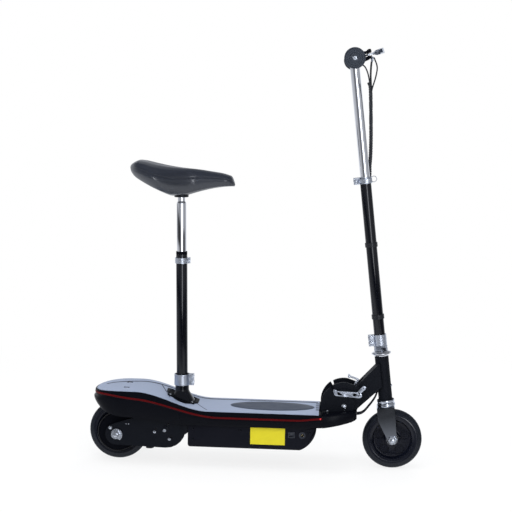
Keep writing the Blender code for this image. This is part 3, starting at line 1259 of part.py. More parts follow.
def saddle_section(t):
    """Place, half width, top and underside at t, from 0 at the tail to 1 at the nose."""
    run = min(1.0, max(0.0, (t - 0.088) / 0.865))
    top = (SADDLE_TAIL_HEIGHT - SADDLE_NOSE_DROP * run
           - SADDLE_TOP_SWAY * math.sin(2 * math.pi * run))
    towards_tail = max(0.0, 1 - t / 0.40) ** 1.15
    towards_nose = math.sin(math.pi / 2 * max(0.0, (t - 0.53) / 0.47))
    bottom = (SADDLE_BOTTOM + SADDLE_TAIL_LIFT * towards_tail
              + SADDLE_NOSE_LIFT * towards_nose)
    broad = ease((0.64 - t) / 0.40)
    half = (SADDLE_NOSE_WIDTH + (SADDLE_WIDTH - SADDLE_NOSE_WIDTH) * broad) / 2
    half *= round_end(t / 0.25) * round_end((1 - t) / 0.10)
    middle = (top + bottom) / 2
    top = middle + (top - middle) * round_end(t / 0.088)
    bottom = middle + (bottom - middle) * round_end(t / 0.088)
    top = bottom + (top - bottom) * round_end((1 - t) / 0.045)
    return SADDLE_REAR + (SADDLE_NOSE - SADDLE_REAR) * t, half, top, bottom


def round_end(t):
    """A quarter circle's height at t, from 0 at its end to 1 where it runs straight."""
    return math.sqrt(max(0.0, 1 - (1 - min(1.0, t)) ** 2))


def build_saddle(mast):
    """Padded saddle with its clamp and pan; the cover is a sphere drawn to its sections."""
    mesh = bpy.data.meshes.new("saddle")
    bm = bmesh.new()
    bmesh.ops.create_uvsphere(bm, u_segments=24, v_segments=18, radius=1.0)
    for vert in bm.verts:
        x, half, top, bottom = saddle_section(0.5 + 0.5 * vert.co.z)
        size = math.hypot(vert.co.x, vert.co.y)
        side, lift = (vert.co.x / size, vert.co.y / size) if size > 1e-6 else (0.0, 0.0)
        fuller = max(abs(side), abs(lift), 0.5) ** -0.35
        vert.co = (x, half * side * fuller,
                   (top + bottom) / 2 + (top - bottom) / 2 * lift * fuller)
    bmesh.ops.recalc_face_normals(bm, faces=bm.faces)
    bm.to_mesh(mesh)
    bm.free()
    mesh.shade_smooth()
    pan_top = SADDLE_CLAMP[1]
    pan = 0.003
    piece("saddle_cover", shape("saddle", mesh), BLACK_LEATHER, mast,
          cut=[rod((0, 0, SADDLE_CLAMP[0] - 0.03), (0, 0, pan_top),
                   SADDLE_CLAMP_RADIUS + 0.0025, sides=20),
               block((-0.030 - GAP, -0.020 - GAP, pan_top - pan - GAP),
                     (0.030 + GAP, 0.020 + GAP, pan_top + GAP))])
    piece("saddle_base",
          rod((0, 0, SADDLE_CLAMP[0]), (0, 0, pan_top), SADDLE_CLAMP_RADIUS,
              SADDLE_CLAMP_RADIUS + 0.0015, sides=20),
          BLACK_PAINT, mast,
          join=[block((-0.030, -0.020, pan_top - pan), (0.030, 0.020, pan_top))],
          cut=[rod((0, 0, SADDLE_CLAMP[0] - 0.01), (0, 0, POST_TOP + GAP),
                   POST_NECK_RADIUS + GAP, sides=24)])


origin = assembly("rear_origin", (-WHEELBASE / 2, 0.0, 0.0))
rear_axle_line = assembly("rear_axle_line", (0.0, 0.0, TYRE_RADIUS), origin)
fold = assembly("fold_line", (PIVOT_X, 0.0, PIVOT_Z), origin)
steer_x, steer_z = steering_point(0.0, 0.0)
steer = assembly("steering_line", (steer_x, 0.0, steer_z), fold, STEER_LEAN)
bar_line = assembly("handlebar_line", (0.0, 0.0, BAR_HEIGHT), steer)
mast_line = assembly("mast_line", (MAST_X, 0.0, MAST_Z), origin, MAST_LEAN)

build_deck(origin)
build_body(origin)
build_chassis(origin)
build_rear_plates(origin)
build_drive(origin, rear_axle_line)
build_brake(rear_axle_line)
build_battery_box(origin)
build_switch(origin)
build_stand(origin)
build_bracket(fold)
build_neck(fold)
build_latch(fold)
build_fork(steer)
build_headset(steer)
build_stem(steer)
build_handlebar(bar_line)
build_brake_lever(bar_line)
build_harness(steer, fold)
build_seat(origin, mast_line)
build_saddle(mast_line)
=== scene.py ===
import json
import math

import bmesh
import bpy
import numpy as np
from mathutils import Matrix, Vector

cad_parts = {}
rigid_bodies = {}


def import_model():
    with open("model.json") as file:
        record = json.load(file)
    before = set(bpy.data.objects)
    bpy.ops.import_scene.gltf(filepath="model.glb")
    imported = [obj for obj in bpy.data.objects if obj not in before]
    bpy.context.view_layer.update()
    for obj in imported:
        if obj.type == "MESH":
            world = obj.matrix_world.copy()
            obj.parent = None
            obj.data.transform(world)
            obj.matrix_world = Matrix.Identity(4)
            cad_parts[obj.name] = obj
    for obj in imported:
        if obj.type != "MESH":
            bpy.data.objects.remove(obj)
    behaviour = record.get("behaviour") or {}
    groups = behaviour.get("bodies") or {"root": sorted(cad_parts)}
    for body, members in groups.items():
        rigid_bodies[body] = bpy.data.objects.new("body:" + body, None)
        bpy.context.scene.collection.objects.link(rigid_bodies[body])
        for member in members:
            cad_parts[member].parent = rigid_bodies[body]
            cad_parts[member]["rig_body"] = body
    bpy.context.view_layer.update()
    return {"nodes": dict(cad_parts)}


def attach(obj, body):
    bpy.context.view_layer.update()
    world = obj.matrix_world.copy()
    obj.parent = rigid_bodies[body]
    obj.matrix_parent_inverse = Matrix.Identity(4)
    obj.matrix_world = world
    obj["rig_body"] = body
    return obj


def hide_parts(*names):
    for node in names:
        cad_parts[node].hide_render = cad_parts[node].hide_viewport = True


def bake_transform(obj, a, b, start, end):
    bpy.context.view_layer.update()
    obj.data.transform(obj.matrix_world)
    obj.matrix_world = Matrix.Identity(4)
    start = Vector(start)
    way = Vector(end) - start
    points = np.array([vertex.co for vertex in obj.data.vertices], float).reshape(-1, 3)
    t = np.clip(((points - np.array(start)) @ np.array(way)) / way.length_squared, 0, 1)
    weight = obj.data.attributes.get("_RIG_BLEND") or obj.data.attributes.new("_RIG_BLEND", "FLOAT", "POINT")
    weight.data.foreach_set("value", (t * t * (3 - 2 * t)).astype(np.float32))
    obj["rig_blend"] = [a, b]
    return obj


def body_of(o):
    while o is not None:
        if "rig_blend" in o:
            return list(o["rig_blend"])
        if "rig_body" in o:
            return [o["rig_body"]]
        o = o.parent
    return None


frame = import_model()

# The camera and the studio.
# A long lens stands to the scooter's right, a little above the bar, and looks down 7 degrees.
# The floor and the sky are white to the camera and to metal; the floor keeps the shadow.
LENS_MM, SENSOR_MM = 98.44, 36.0
CAMERA_PLACE = (0.1795, -3.205, 0.894)
AZIMUTH, PITCH, ROLL = (math.radians(a) for a in (3.32, 7.2, 1.22))


def put(name, data):
    """A new object with this data, in the scene."""
    made = bpy.data.objects.new(name, data)
    bpy.context.scene.collection.objects.link(made)
    return made


def unit(vectors):
    """Vectors scaled to a length of 1."""
    return vectors / np.linalg.norm(vectors, axis=-1, keepdims=True)


def aim(piece, side, up, back, place):
    """Stands a camera or a lamp at a place, with its three axes along side, up and back."""
    rows = zip(np.stack([side, up, back], 1), place)
    piece.matrix_world = Matrix([[*row, at] for row, at in rows] + [[0, 0, 0, 1]])


ahead = np.array([-math.sin(AZIMUTH) * math.cos(PITCH), math.cos(AZIMUTH) * math.cos(PITCH),
    -math.sin(PITCH)])
level = np.array([math.cos(AZIMUTH), math.sin(AZIMUTH), 0.0])
above = np.cross(level, ahead)
camera_data = bpy.data.cameras.new("camera")
camera_data.lens, camera_data.sensor_width = LENS_MM, SENSOR_MM
camera = put("camera", camera_data)
aim(camera, level * math.cos(ROLL) + above * math.sin(ROLL),
    above * math.cos(ROLL) - level * math.sin(ROLL), -ahead, CAMERA_PLACE)
bpy.context.scene.camera = camera
bpy.context.scene.view_settings.view_transform = "Standard"

SKY_LIGHT = 0.62
SKY_COLOUR = (0.93, 0.96, 1.0, 1.0)
MIRRORED_COLOUR = (0.91, 0.94, 1.0, 1)
# What gloss sees of the room, in layers from the floor up. Each takes over between two
# heights and gives the brightness by degrees right of the camera: the white floor, low dark
# cards, the room's far side, the screens at the camera's height, and a dim ceiling.
ROOM = (
    (-90, -90, ((-180, 0.9), (180, 0.9))),
    (-19.5, -17, ((-180, 0.9), (-100, 0.7), (-60, 0.55), (-20, 0.3), (0, 0.24), (8, 0.28),
        (25, 0.8), (45, 0.9), (70, 0.5), (110, 0.5), (140, 0.9), (180, 0.9))),
    (-14.6, -13.6, ((-180, 0.95), (-125, 0.85), (-105, 0.5), (-72, 0.55), (-46, 0.3),
        (-30, 0.16), (-20, 0.08), (-12, 0.03), (30, 0.03), (45, 0.08), (75, 0.12),
        (107, 0.2), (125, 0.8), (180, 0.95))),
    (-7.4, -6.5, ((-180, 0.95), (-134, 0.5), (-110, 0.24), (-95, 0.15), (-70, 0.03),
        (-40, 0.03), (-24, 0.1), (-17, 0.19), (-8, 0.4), (2, 0.95), (10, 1.0), (18, 0.45),
        (29, 0.21), (54, 0.18), (83, 0.09), (105, 0.25), (122, 0.75), (180, 0.95))),
    (-3.8, -2.8, ((-180, 0.95), (-125, 0.85), (-105, 0.45), (-72, 0.5), (-46, 0.27),
        (-22, 0.38), (-8, 0.5), (1, 0.89), (10, 1.0), (26, 1.0), (38, 0.65), (48, 0.54),
        (75, 0.42), (107, 0.24), (125, 0.8), (180, 0.95))),
    (11, 22, ((-180, 0.22), (180, 0.22))))
STRIP = ((-180, 0.0), (11, 0.0), (14, 1.0), (21, 1.0), (24, 0.0), (180, 0.0))
STRIP_HEIGHTS = ((-90, 0.0), (-8.2, 0.0), (-7.0, 1.0), (10, 1.0), (14, 0.0), (90, 0.0))
STRIP_LIGHT = 6.0


def node(tree, kind, inputs=(), **settings):
    """A shader node in a tree. Each input, by its name or number, is a value or the socket
    that feeds it."""
    made = tree.nodes.new("ShaderNode" + kind)
    for name, value in settings.items():
        setattr(made, name, value)
    for key, value in dict(inputs).items():
        if isinstance(value, bpy.types.NodeSocket):
            tree.links.new(value, made.inputs[key])
        else:
            made.inputs[key].default_value = value
    return made


def sums(tree, operation, *values):
    """The result of a Math node on values or sockets."""
    return node(tree, "Math", enumerate(values), operation=operation).outputs[0]


def ramp(tree, value, stops, low, high):
    """A colour ramp of grey stops (place, brightness), read at a value from low to high."""
    made = node(tree, "ValToRGB", {"Fac": sums(tree, "DIVIDE", sums(
        tree, "SUBTRACT", value, math.radians(low)), math.radians(high - low))})
    elements = made.color_ramp.elements
    while len(elements) < len(stops):
        elements.new(0.5)
    for element, (place, grey) in zip(elements, stops):
        element.position = (place - low) / (high - low)
        element.color = (grey, grey, grey, 1)
    return made.outputs["Color"]


def straight_rays(tree, rays):
    """1 for what the camera sees, itself or through glass."""
    return sums(tree, "MAXIMUM", rays["Is Camera Ray"], rays["Is Transmission Ray"])


def mixed(tree, share, first, second):
    """One node's shader turned into another's by a share."""
    return node(tree, "MixShader", {0: share, 1: first.outputs[0], 2: second.outputs[0]})


world = bpy.data.worlds.new("studio")
bpy.context.scene.world = world
world.use_nodes = True
tree = world.node_tree
tree.nodes.clear()
rays = node(tree, "LightPath").outputs
heading = node(tree, "SeparateXYZ", {0: node(tree, "TexCoord").outputs["Generated"]}).outputs
around = sums(tree, "ARCTAN2", heading["X"], sums(tree, "MULTIPLY", heading["Y"], -1.0))
height = sums(tree, "ARCSINE", heading["Z"])
room = 0.0
for start, full, stops in ROOM:
    share = node(tree, "MapRange", {"Value": height, "From Min": math.radians(start),
        "From Max": math.radians(full) + 1e-4}).outputs[0]
    change = sums(tree, "SUBTRACT", ramp(tree, around, stops, -180, 180), room)
    room = sums(tree, "ADD", room, sums(tree, "MULTIPLY", share, change))
strip = sums(tree, "MULTIPLY", ramp(tree, around, STRIP, -180, 180),
    ramp(tree, height, STRIP_HEIGHTS, -90, 90))
room = sums(tree, "ADD", room, sums(tree, "MULTIPLY", strip, STRIP_LIGHT))
soft = node(tree, "Background", {"Color": SKY_COLOUR, "Strength": SKY_LIGHT})
mirrored = node(tree, "Background", {"Color": MIRRORED_COLOUR, "Strength": room})
white = node(tree, "Background", {"Color": (1, 1, 1, 1), "Strength": 1.0})
sky = mixed(tree, straight_rays(tree, rays), mixed(tree, rays["Is Glossy Ray"], soft, mirrored),
    white)
node(tree, "OutputWorld", {"Surface": sky.outputs[0]})


def lamp(name, place, target, width, height, watts):
    """A soft rectangular lamp at a place, turned towards its target and unseen in gloss."""
    data = bpy.data.lights.new(name, "AREA")
    data.shape, data.size, data.size_y, data.energy = "RECTANGLE", width, height, watts
    light = put(name, data)
    back = unit(np.subtract(place, target))
    side = unit(np.cross((0, 0, 1), back))
    aim(light, side, np.cross(back, side), back, place)
    light.visible_glossy = False


lamp("front_panel", (0.9, -2.6, 1.5), (0.0, 0.0, 0.45), 0.55, 2.2, 26)
lamp("left_panel", (-1.9, -1.9, 1.3), (0.0, 0.0, 0.4), 0.8, 1.8, 26)
lamp("top_panel", (0.0, -0.3, 2.6), (0.0, 0.0, 0.3), 1.8, 1.2, 30)
lamp("back_panel", (0.6, 2.3, 1.6), (0.0, 0.0, 0.45), 1.0, 1.8, 24)

floor_mesh = bpy.data.meshes.new("floor")
floor_mesh.from_pydata([(-9, -9, 0), (9, -9, 0), (9, 9, 0), (-9, 9, 0)], [], [(0, 1, 2, 3)])
floor = put("floor", floor_mesh)
floor_finish = bpy.data.materials.new("white_floor")
floor_finish.use_nodes = True
tree = floor_finish.node_tree
tree.nodes.clear()
cove = node(tree, "BsdfDiffuse", {"Color": (0.86, 0.86, 0.87, 1)})
distance = node(tree, "VectorMath", {0: node(tree, "TexCoord").outputs["Object"]},
    operation="LENGTH").outputs["Value"]
fade = node(tree, "MapRange", {"Value": distance, "From Min": 0.45, "From Max": 1.5,
    "To Min": 0.8, "To Max": 1.0}).outputs[0]
rays = node(tree, "LightPath").outputs
share = sums(tree, "MULTIPLY", fade, straight_rays(tree, rays))
surface = mixed(tree, rays["Is Glossy Ray"], mixed(tree, share, cove, node(tree, "Emission")),
    node(tree, "BsdfTransparent"))
node(tree, "OutputMaterial", {"Surface": surface.outputs[0]})
floor_mesh.materials.append(floor_finish)

# Cables from the bar.
# The throttle lead, the brake cable and the switch lead leave the bar, meet in one wrapped
# bundle that two clips hold to the stem, and go past the headset into the nose.
STEERING_FOOT, STEERING_LEAN = (0.314049, 0.0, 0.068208), 7.0
REAR_AXLE_X = -0.3205
SHARP = 32.0
WELD = 2e-6
WRAP_PITCH = 0.006


def mm(lengths):
    """Lengths given in millimetres, in metres."""
    return np.asarray(lengths, float) / 1000


def turns(count):
    """The angles of count even steps round a circle."""
    return np.linspace(0, 2 * np.pi, count, endpoint=False)


def leaning(points, foot, degrees):
    """Points given forward, left and up in a frame that stands at foot and leans back."""
    u, y, w = np.moveaxis(np.asarray(points, float), -1, 0)
    c, s = math.cos(math.radians(degrees)), math.sin(math.radians(degrees))
    return np.stack([foot[0] + u * c - w * s, foot[1] + y, foot[2] + u * s + w * c], -1)


def on_steering(points):
    """Points given forward, left and up along the leaning steering, in the row frame."""
    return leaning(points, STEERING_FOOT, STEERING_LEAN)


def at_axle(points):
    """Points given forward of the rear axle's line, left and up, in the row frame."""
    return np.asarray(points, float) + (REAR_AXLE_X, 0.0, 0.0)


def skin(name, grid, ring=True, loop=False, caps=False, sharp=SHARP):
    """Quads through a grid of points (rows, columns, 3). A ring closes each row, a loop
    joins the last row to the first, and caps close the first and last rows."""
    rows, columns = grid.shape[:2]
    index = np.arange(rows * columns).reshape(rows, columns)
    if loop:
        index = np.vstack([index, index[:1]])
    if ring:
        index = np.hstack([index, index[:, :1]])
    faces = np.stack([index[:-1, :-1], index[:-1, 1:], index[1:, 1:], index[1:, :-1]],
        -1).reshape(-1, 4).tolist()
    if caps:
        faces += [list(range(columns)), list(range((rows - 1) * columns, rows * columns))]
    mesh = bpy.data.meshes.new(name)
    mesh.from_pydata(grid.reshape(-1, 3).tolist(), [], faces)
    bm = bmesh.new()
    bm.from_mesh(mesh)
    bmesh.ops.remove_doubles(bm, verts=bm.verts, dist=WELD)
    bmesh.ops.recalc_face_normals(bm, faces=bm.faces)
    middle = Vector(grid.reshape(-1, 3).mean(0))
    if not ring and sum(f.calc_area() * f.normal.dot(f.calc_center_median() - middle)
            for f in bm.faces) < 0:
        bmesh.ops.reverse_faces(bm, faces=bm.faces)
    bm.to_mesh(mesh)
    bm.free()
    mesh.shade_smooth()
    mesh.set_sharp_from_angle(angle=math.radians(sharp))
    return put(name, mesh)


def routed(points, steps=12):
    """A smooth line through points: each span is the cubic of its ends and neighbours."""
    p = np.asarray(points, float)
    p = np.vstack([2 * p[0] - p[1], p, 2 * p[-1] - p[-2]])
    a, b, c, d = (p[i:len(p) - 3 + i, None] for i in range(4))
    t = np.linspace(0, 1, steps, endpoint=False)[None, :, None]
    span = 0.5 * (2 * b + (c - a) * t + (2 * a - 5 * b + 4 * c - d) * t ** 2
        + (3 * b - a - 3 * c + d) * t ** 3)
    return np.vstack([span.reshape(-1, p.shape[1]), p[-2:-1]])


def run_of(path):
    """Distance run along a path, at each of its points."""
    return np.concatenate([[0.0], np.cumsum(np.linalg.norm(np.diff(path, axis=0), axis=1))])


def swept(name, path, radius, sides, across=(0.0, 1.0, 0.0), wrap=0.0):
    """A round section carried along a path. With wrap, a strip winds round it: the radius
    falls by wrap in a narrow groove, halfway between whole values of run / pitch less the
    share of a turn."""
    along = unit(np.gradient(path, axis=0))
    side = unit(np.cross(along, across))
    other = np.cross(along, side)
    turn = np.arange(sides) / sides
    phase = (run_of(path)[:, None] / WRAP_PITCH - turn) % 1.0
    size = radius - wrap * np.exp(-((phase - 0.5) / 0.12) ** 2)
    grid = (path[:, None] + size[..., None] * (np.cos(2 * np.pi * turn)[:, None] * side[:, None]
        + np.sin(2 * np.pi * turn)[:, None] * other[:, None]))
    ends = [np.repeat(path[i:i + 1, None], sides, 1) for i in (0, len(path) - 1)]
    return skin(name, np.concatenate([ends[0], grid, ends[1]]), sharp=50)


def mottle_group():
    """Slow cloudy variation and a fine grain, from the piece's own coordinates."""
    group = bpy.data.node_groups.new("mottle_and_grain", "ShaderNodeTree")
    for name, default in (("Cloud Scale", 18.0), ("Grain Scale", 900.0)):
        group.interface.new_socket(name=name, in_out="INPUT",
            socket_type="NodeSocketFloat").default_value = default
    for name in ("Cloud", "Grain"):
        group.interface.new_socket(name=name, in_out="OUTPUT", socket_type="NodeSocketFloat")
    source = group.nodes.new("NodeGroupInput")
    result = group.nodes.new("NodeGroupOutput")
    place = node(group, "TexCoord").outputs["Object"]
    for name, detail in (("Cloud", 5.0), ("Grain", 2.0)):
        noise = node(group, "TexNoise", {"Detail": detail, "Vector": place,
            "Scale": source.outputs[f"{name} Scale"]})
        group.links.new(noise.outputs["Fac"], result.inputs[name])
    return group


MOTTLE = mottle_group()


def finish(name, colour, roughness, metallic=0.0, cloud=18.0, grain=900.0, tint=0.1,
        uneven=0.06, depth=0.1, coat=0.0, specular=0.5):
    """A material with one colour, cloudy by its tint, an uneven gloss and a fine grain."""
    made = bpy.data.materials.new(name)
    made.use_nodes = True
    tree = made.node_tree
    mottle = node(tree, "Group", {"Cloud Scale": cloud, "Grain Scale": grain},
        node_tree=MOTTLE).outputs
    shades = node(tree, "Mix", {"Factor": mottle["Cloud"],
        6: (*(c * (1 - tint) for c in colour), 1),
        7: (*(min(1.0, c * (1 + tint)) for c in colour), 1)}, data_type="RGBA")
    gloss = node(tree, "MapRange", {"Value": mottle["Cloud"], "From Min": 0.3, "From Max": 0.7,
        "To Min": max(0.02, roughness - uneven), "To Max": roughness + uneven})
    bump = node(tree, "Bump", {"Strength": depth, "Distance": 0.0003,
        "Height": mottle["Grain"]})
    shader = tree.nodes["Principled BSDF"].inputs
    for name, value in (("Metallic", metallic), ("Coat Weight", coat),
            ("Coat Roughness", 0.06), ("Specular IOR Level", specular)):
        shader[name].default_value = value
    for name, socket in (("Base Color", shades.outputs[2]), ("Roughness", gloss.outputs[0]),
            ("Normal", bump.outputs[0])):
        tree.links.new(socket, shader[name])
    return made


def fit(piece, material, body, *stands_for, slot=None):
    """Gives a piece its material, the body it moves with and the nodes it stands for, which it hides. The
    slot argument is not used."""
    piece.data.materials.clear()
    piece.data.materials.append(material)
    if body:
        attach(piece, body)
    if stands_for:
        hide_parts(*stands_for)
    return piece


def wrapped(name, node_name, points, steps, bodies, ends, **lay):
    """A wrapped bundle of cables that bends with two bodies, from one end to the other."""
    path = on_steering(routed(points, steps))
    piece = fit(swept(name, path, BUNDLE_RADIUS, 24, (1, 0, 0), 0.0007), wrap_black, None,
        node_name)
    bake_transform(piece, *bodies, *(on_steering(end) for end in ends))


cable_black = finish("cable_jacket", (0.01, 0.011, 0.015), 0.42, grain=1400,
    depth=0.05, specular=0.3)
wrap_black = finish("cable_wrap", (0.014, 0.016, 0.021), 0.36, grain=1200,
    depth=0.08, specular=0.4)
STEM_RADIUS = 0.0127
LEAD_RADIUS, CABLE_RADIUS, BUNDLE_RADIUS = 0.0016, 0.0022, 0.0043
BESIDE_STEM = STEM_RADIUS + 0.0006 + BUNDLE_RADIUS
CLIP_HEIGHTS = (0.2898, 0.4575)

for name, radius, points in (
        ("throttle_lead", LEAD_RADIUS, [(13, -86, 869), (21.5, -74, 861), (26.8, -54, 846.3),
            (29, -33, 829), (30, -13, 808)]),
        ("brake_cable", CABLE_RADIUS, [(40.5, -70, 881), (36.3, -64, 867.6),
            (32.9, -45, 843.7), (31.8, -20, 818.1), (30, -2, 796)]),
        ("switch_lead", LEAD_RADIUS, [(43, -73, 880), (47.7, -69, 863.2), (47.4, -58, 851),
            (42.3, -38, 833.3), (34, -17, 812), (30.6, -4, 798)])):
    path = on_steering(routed(mm(points)))
    fit(swept(name, path, radius, 14, across=(1, 0, 0)), cable_black, "bar")

wrapped("upper_cable_bundle", "harness_upper", mm([(28.5, -12, 825), (30.2, 0, 806),
    (22.5, 9, 710), (17.2, 11, 662), (13, 16, 636), (12, 17, 622)]), 40, ("steering", "bar"),
    ((0.018, 0.011, 0.668), (0.03, 0.0, 0.8)))
wrapped("stem_cable_bundle", "harness_stem", [(0.012, 0.017, 0.6205), (0.009, 0.0195, 0.608),
    (0.005, 0.0195, 0.586), (0, BESIDE_STEM, 0.56), (0, BESIDE_STEM, CLIP_HEIGHTS[1]),
    (0, BESIDE_STEM, 0.37), (0, BESIDE_STEM, CLIP_HEIGHTS[0]), (0, 0.0205, 0.262),
    (0, 0.0215, 0.24), (0, 0.0285, 0.215)], 36, ("folding_neck", "steering"),
    ((0.0, 0.0285, 0.215), (0.0, 0.0205, 0.275)), lay="taut")

neck_path = routed(np.vstack([
    on_steering(mm([(0, 28.8, 213), (-1, 29.5, 202), (-5, 26.4, 170), (-11, 26.4, 133)])),
    at_axle(mm([(601.4, 21.5, 166), (583, 10, 140), (568, 4.5, 126.5), (547, 4, 123.5)]))]))
for name, shift, radius in (("lower_battery_lead", -0.0019, 0.0022),
        ("lower_brake_cable", 0.0022, 0.0019)):
    path = neck_path + np.array([0.35, 0.0, 0.94]) * shift
    lower = fit(swept(name, path, radius, 16), cable_black, None)
    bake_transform(lower, "chassis", "folding_neck", at_axle((0.56, 0.0045, 0.1265)),
        at_axle((0.59, 0.012, 0.156)))
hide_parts("harness_lower")

# Deck board, mat and stripe.
# A moulded black board with a round tail that rises over the rear wheel. A grey grip mat
# lies on it, and a dark red trim strip runs round the edge under it.
GAP = 0.0003
TAIL_FULL_X, STRAIGHT_END_X, NOSE_END_X = 0.03, 0.478, 0.557
DECK_END_X, MAT_END_X = 0.4777, 0.4694
HALF_WIDTH, TAIL_LENGTH, NOSE_HALF_WIDTH = 0.075, 0.086, 0.038
STRIPE_HEIGHT = 0.0044
BRACKET_SIDE = 0.0338
MAT_THICKNESS = 0.0013


def ease(t):
    """Runs smoothly from 0 to 1: 3 t^2 - 2 t^3, held at both ends."""
    t = np.clip(t, 0, 1)
    return t * t * (3 - 2 * t)


def tail_droop(x):
    """How far the tail bows down behind the rear axle, by the square of the distance."""
    return 0.006 * np.maximum(0.0, (0.02 - x) / 0.076) ** 2


def deck_top(x):
    """Height of the board: flat, a smooth rise to the tail, a slight lift at the nose."""
    return (0.1335 + 0.0405 * ease((0.215 - x) / 0.17) - tail_droop(x)
        + 0.0055 * ease((x - 0.478) / 0.06))


def stripe_line(x):
    """Height of the middle of the stripe, which follows the board in three eased steps."""
    return (0.1208 + 0.038 * ease((0.24 - x) / 0.21) + 0.0085 * ease((0.05 - x) / 0.09)
        - 0.8 * tail_droop(x) + 0.0064 * ease((x - 0.415) / 0.075))


def body_line(x):
    """Height of the body's lower edge: low amidships, swept up at tail and nose."""
    return (0.101 + 0.013 * ease((0.17 - x) / 0.14) + 0.003 * ease((x - 0.435) / 0.03)
        + 0.025 * np.maximum(0.0, (0.04 - x) / 0.096) ** 2.6
        + 0.016 * np.maximum(0.0, (x - 0.473) / 0.084) ** 1.2)


def lifted(line, rise):
    """A height over x, raised by a length."""
    return lambda x: line(x) + rise


def left_edge(inset, end):
    """The body's left edge from above, from the tail's tip to end: a tail of powered sines
    and cosines (power 0.87), then straight."""
    a = np.linspace(0, np.pi / 2, 36)
    tail = np.stack([TAIL_FULL_X - (TAIL_LENGTH - inset) * np.cos(a) ** 0.87,
        (HALF_WIDTH - inset) * np.sin(a) ** 0.87], 1)
    x = np.linspace(TAIL_FULL_X, end, 60)[1:]
    return np.vstack([tail, np.stack([x, np.full_like(x, HALF_WIDTH - inset)], 1)])


def column(edge, share, height):
    """An edge drawn in to a share of its width, at its height over x."""
    return np.stack([edge[:, 0], edge[:, 1] * share, height(edge[:, 0])], 1)


def board(name, columns, end):
    """A closed body across the deck. Each column is (inset, share of the half width,
    height over x), and the columns go round a section."""
    return skin(name, at_axle(np.stack([column(left_edge(inset, end), share, height)
        for inset, share, height in columns], 1)), caps=True)


def both_halves(columns):
    """Columns of the left half, carried on over the right half."""
    return columns + [(inset, -share, height) for inset, share, height in reversed(columns)]


def board_section(inset, low, high, edge):
    """Columns of a flat section: across the underside, round one eased edge, back over the
    top and round the other."""
    under = [(inset + edge, s, low) for s in (-0.6, 0.0, 0.6)]
    return under + both_halves([(inset + edge * 0.3, 1, low), (inset, 1, lifted(low, edge * 0.5)),
        (inset, 1, lifted(high, -edge)), (inset + edge * 0.3, 1, lifted(high, -edge * 0.3)),
        (inset + edge, 1, high)] + [(inset + edge, s, high) for s in (0.85, 0.5, 0.2)])


def around_tail(name, section, end, swell=None):
    """A closed section of (inset, height over x) carried along both sides and the tail.
    Each column swells back behind the axle by its swell * (x / 56 mm) ^ 2."""
    rings = []
    for (inset, height), out in zip(section, swell or [0.0] * len(section)):
        edge = left_edge(inset, end)
        ring = column(np.vstack([edge[::-1], edge[1:] * (1, -1)]), 1, height)
        ring[:, 0] -= out * np.clip(-ring[:, 0] / 0.056, 0, 1) ** 2
        rings.append(ring)
    return skin(name, at_axle(np.stack(rings, 1)), caps=True)


def block(low, high):
    """A plain block for cutting, which is deleted when the cut is made."""
    corners = np.array(np.meshgrid(*zip(low, high), indexing="ij")).reshape(3, -1).T
    mesh = bpy.data.meshes.new("block")
    mesh.from_pydata(at_axle(corners).tolist(), [], [(0, 1, 3, 2), (4, 6, 7, 5), (0, 4, 5, 1),
        (2, 3, 7, 6), (0, 2, 6, 4), (1, 5, 7, 3)])
    return put("block", mesh)


def carve(piece, *cutters):
    """Cuts shapes out of a piece for good and deletes them."""
    for cutter in cutters:
        modifier = piece.modifiers.new("cut", "BOOLEAN")
        modifier.operation, modifier.solver, modifier.object = "DIFFERENCE", "EXACT", cutter
    depsgraph = bpy.context.evaluated_depsgraph_get()
    mesh = bpy.data.meshes.new_from_object(piece.evaluated_get(depsgraph))
    piece.modifiers.clear()
    piece.data = mesh
    mesh.shade_smooth()
    mesh.set_sharp_from_angle(angle=math.radians(SHARP))
    for cutter in cutters:
        bpy.data.objects.remove(cutter, do_unlink=True)
    return piece


deck_plastic = finish("moulded_black", (0.0024, 0.0028, 0.0048), 0.38,
    grain=1500, depth=0.08, cloud=9, tint=0.15, uneven=0.05, specular=0.03)
mat_grey = finish("grip_mat", (0.27, 0.318, 0.43), 0.46, grain=2600, depth=0.3,
    cloud=7, tint=0.05, specular=0.4)
mat_line = finish("mat_line", (0.03, 0.034, 0.05), 0.5, specular=0.3)
trim_red = finish("dark_red_trim", (0.07, 0.003, 0.004), 0.3, cloud=12,
    tint=0.3, specular=0.05)
lens_red = finish("red_lens", (0.7, 0.04, 0.05), 0.14, coat=0.5)

TAIL_SCREW_X, TAIL_SCREW_Y = 0.02, 0.027
recess_floor = deck_top(TAIL_SCREW_X) - 0.0016
recesses = [((0.013, y - 0.0052, recess_floor), (0.027, y + 0.0052, 0.2))
    for y in (-TAIL_SCREW_Y, TAIL_SCREW_Y)]
deck = board("deck_board", board_section(0.0, lifted(stripe_line, STRIPE_HEIGHT / 2 + GAP),
    deck_top, 0.0014), DECK_END_X)
carve(deck, block((0.47, -BRACKET_SIDE, 0.1), (0.6, BRACKET_SIDE, 0.2)),
    *(block(*r) for r in recesses))
fit(deck, deck_plastic, "chassis", "deck")

mat = board("deck_mat_sheet", board_section(0.004, lifted(deck_top, GAP),
    lifted(deck_top, MAT_THICKNESS), 0.0005), MAT_END_X)
carve(mat, *(block(*r) for r in recesses))
fit(mat, mat_grey, "chassis", "deck_mat")


def left_of(along):
    """Directions a quarter turn to the left of directions in a plane."""
    return np.stack([-along[:, 1], along[:, 0]], 1)


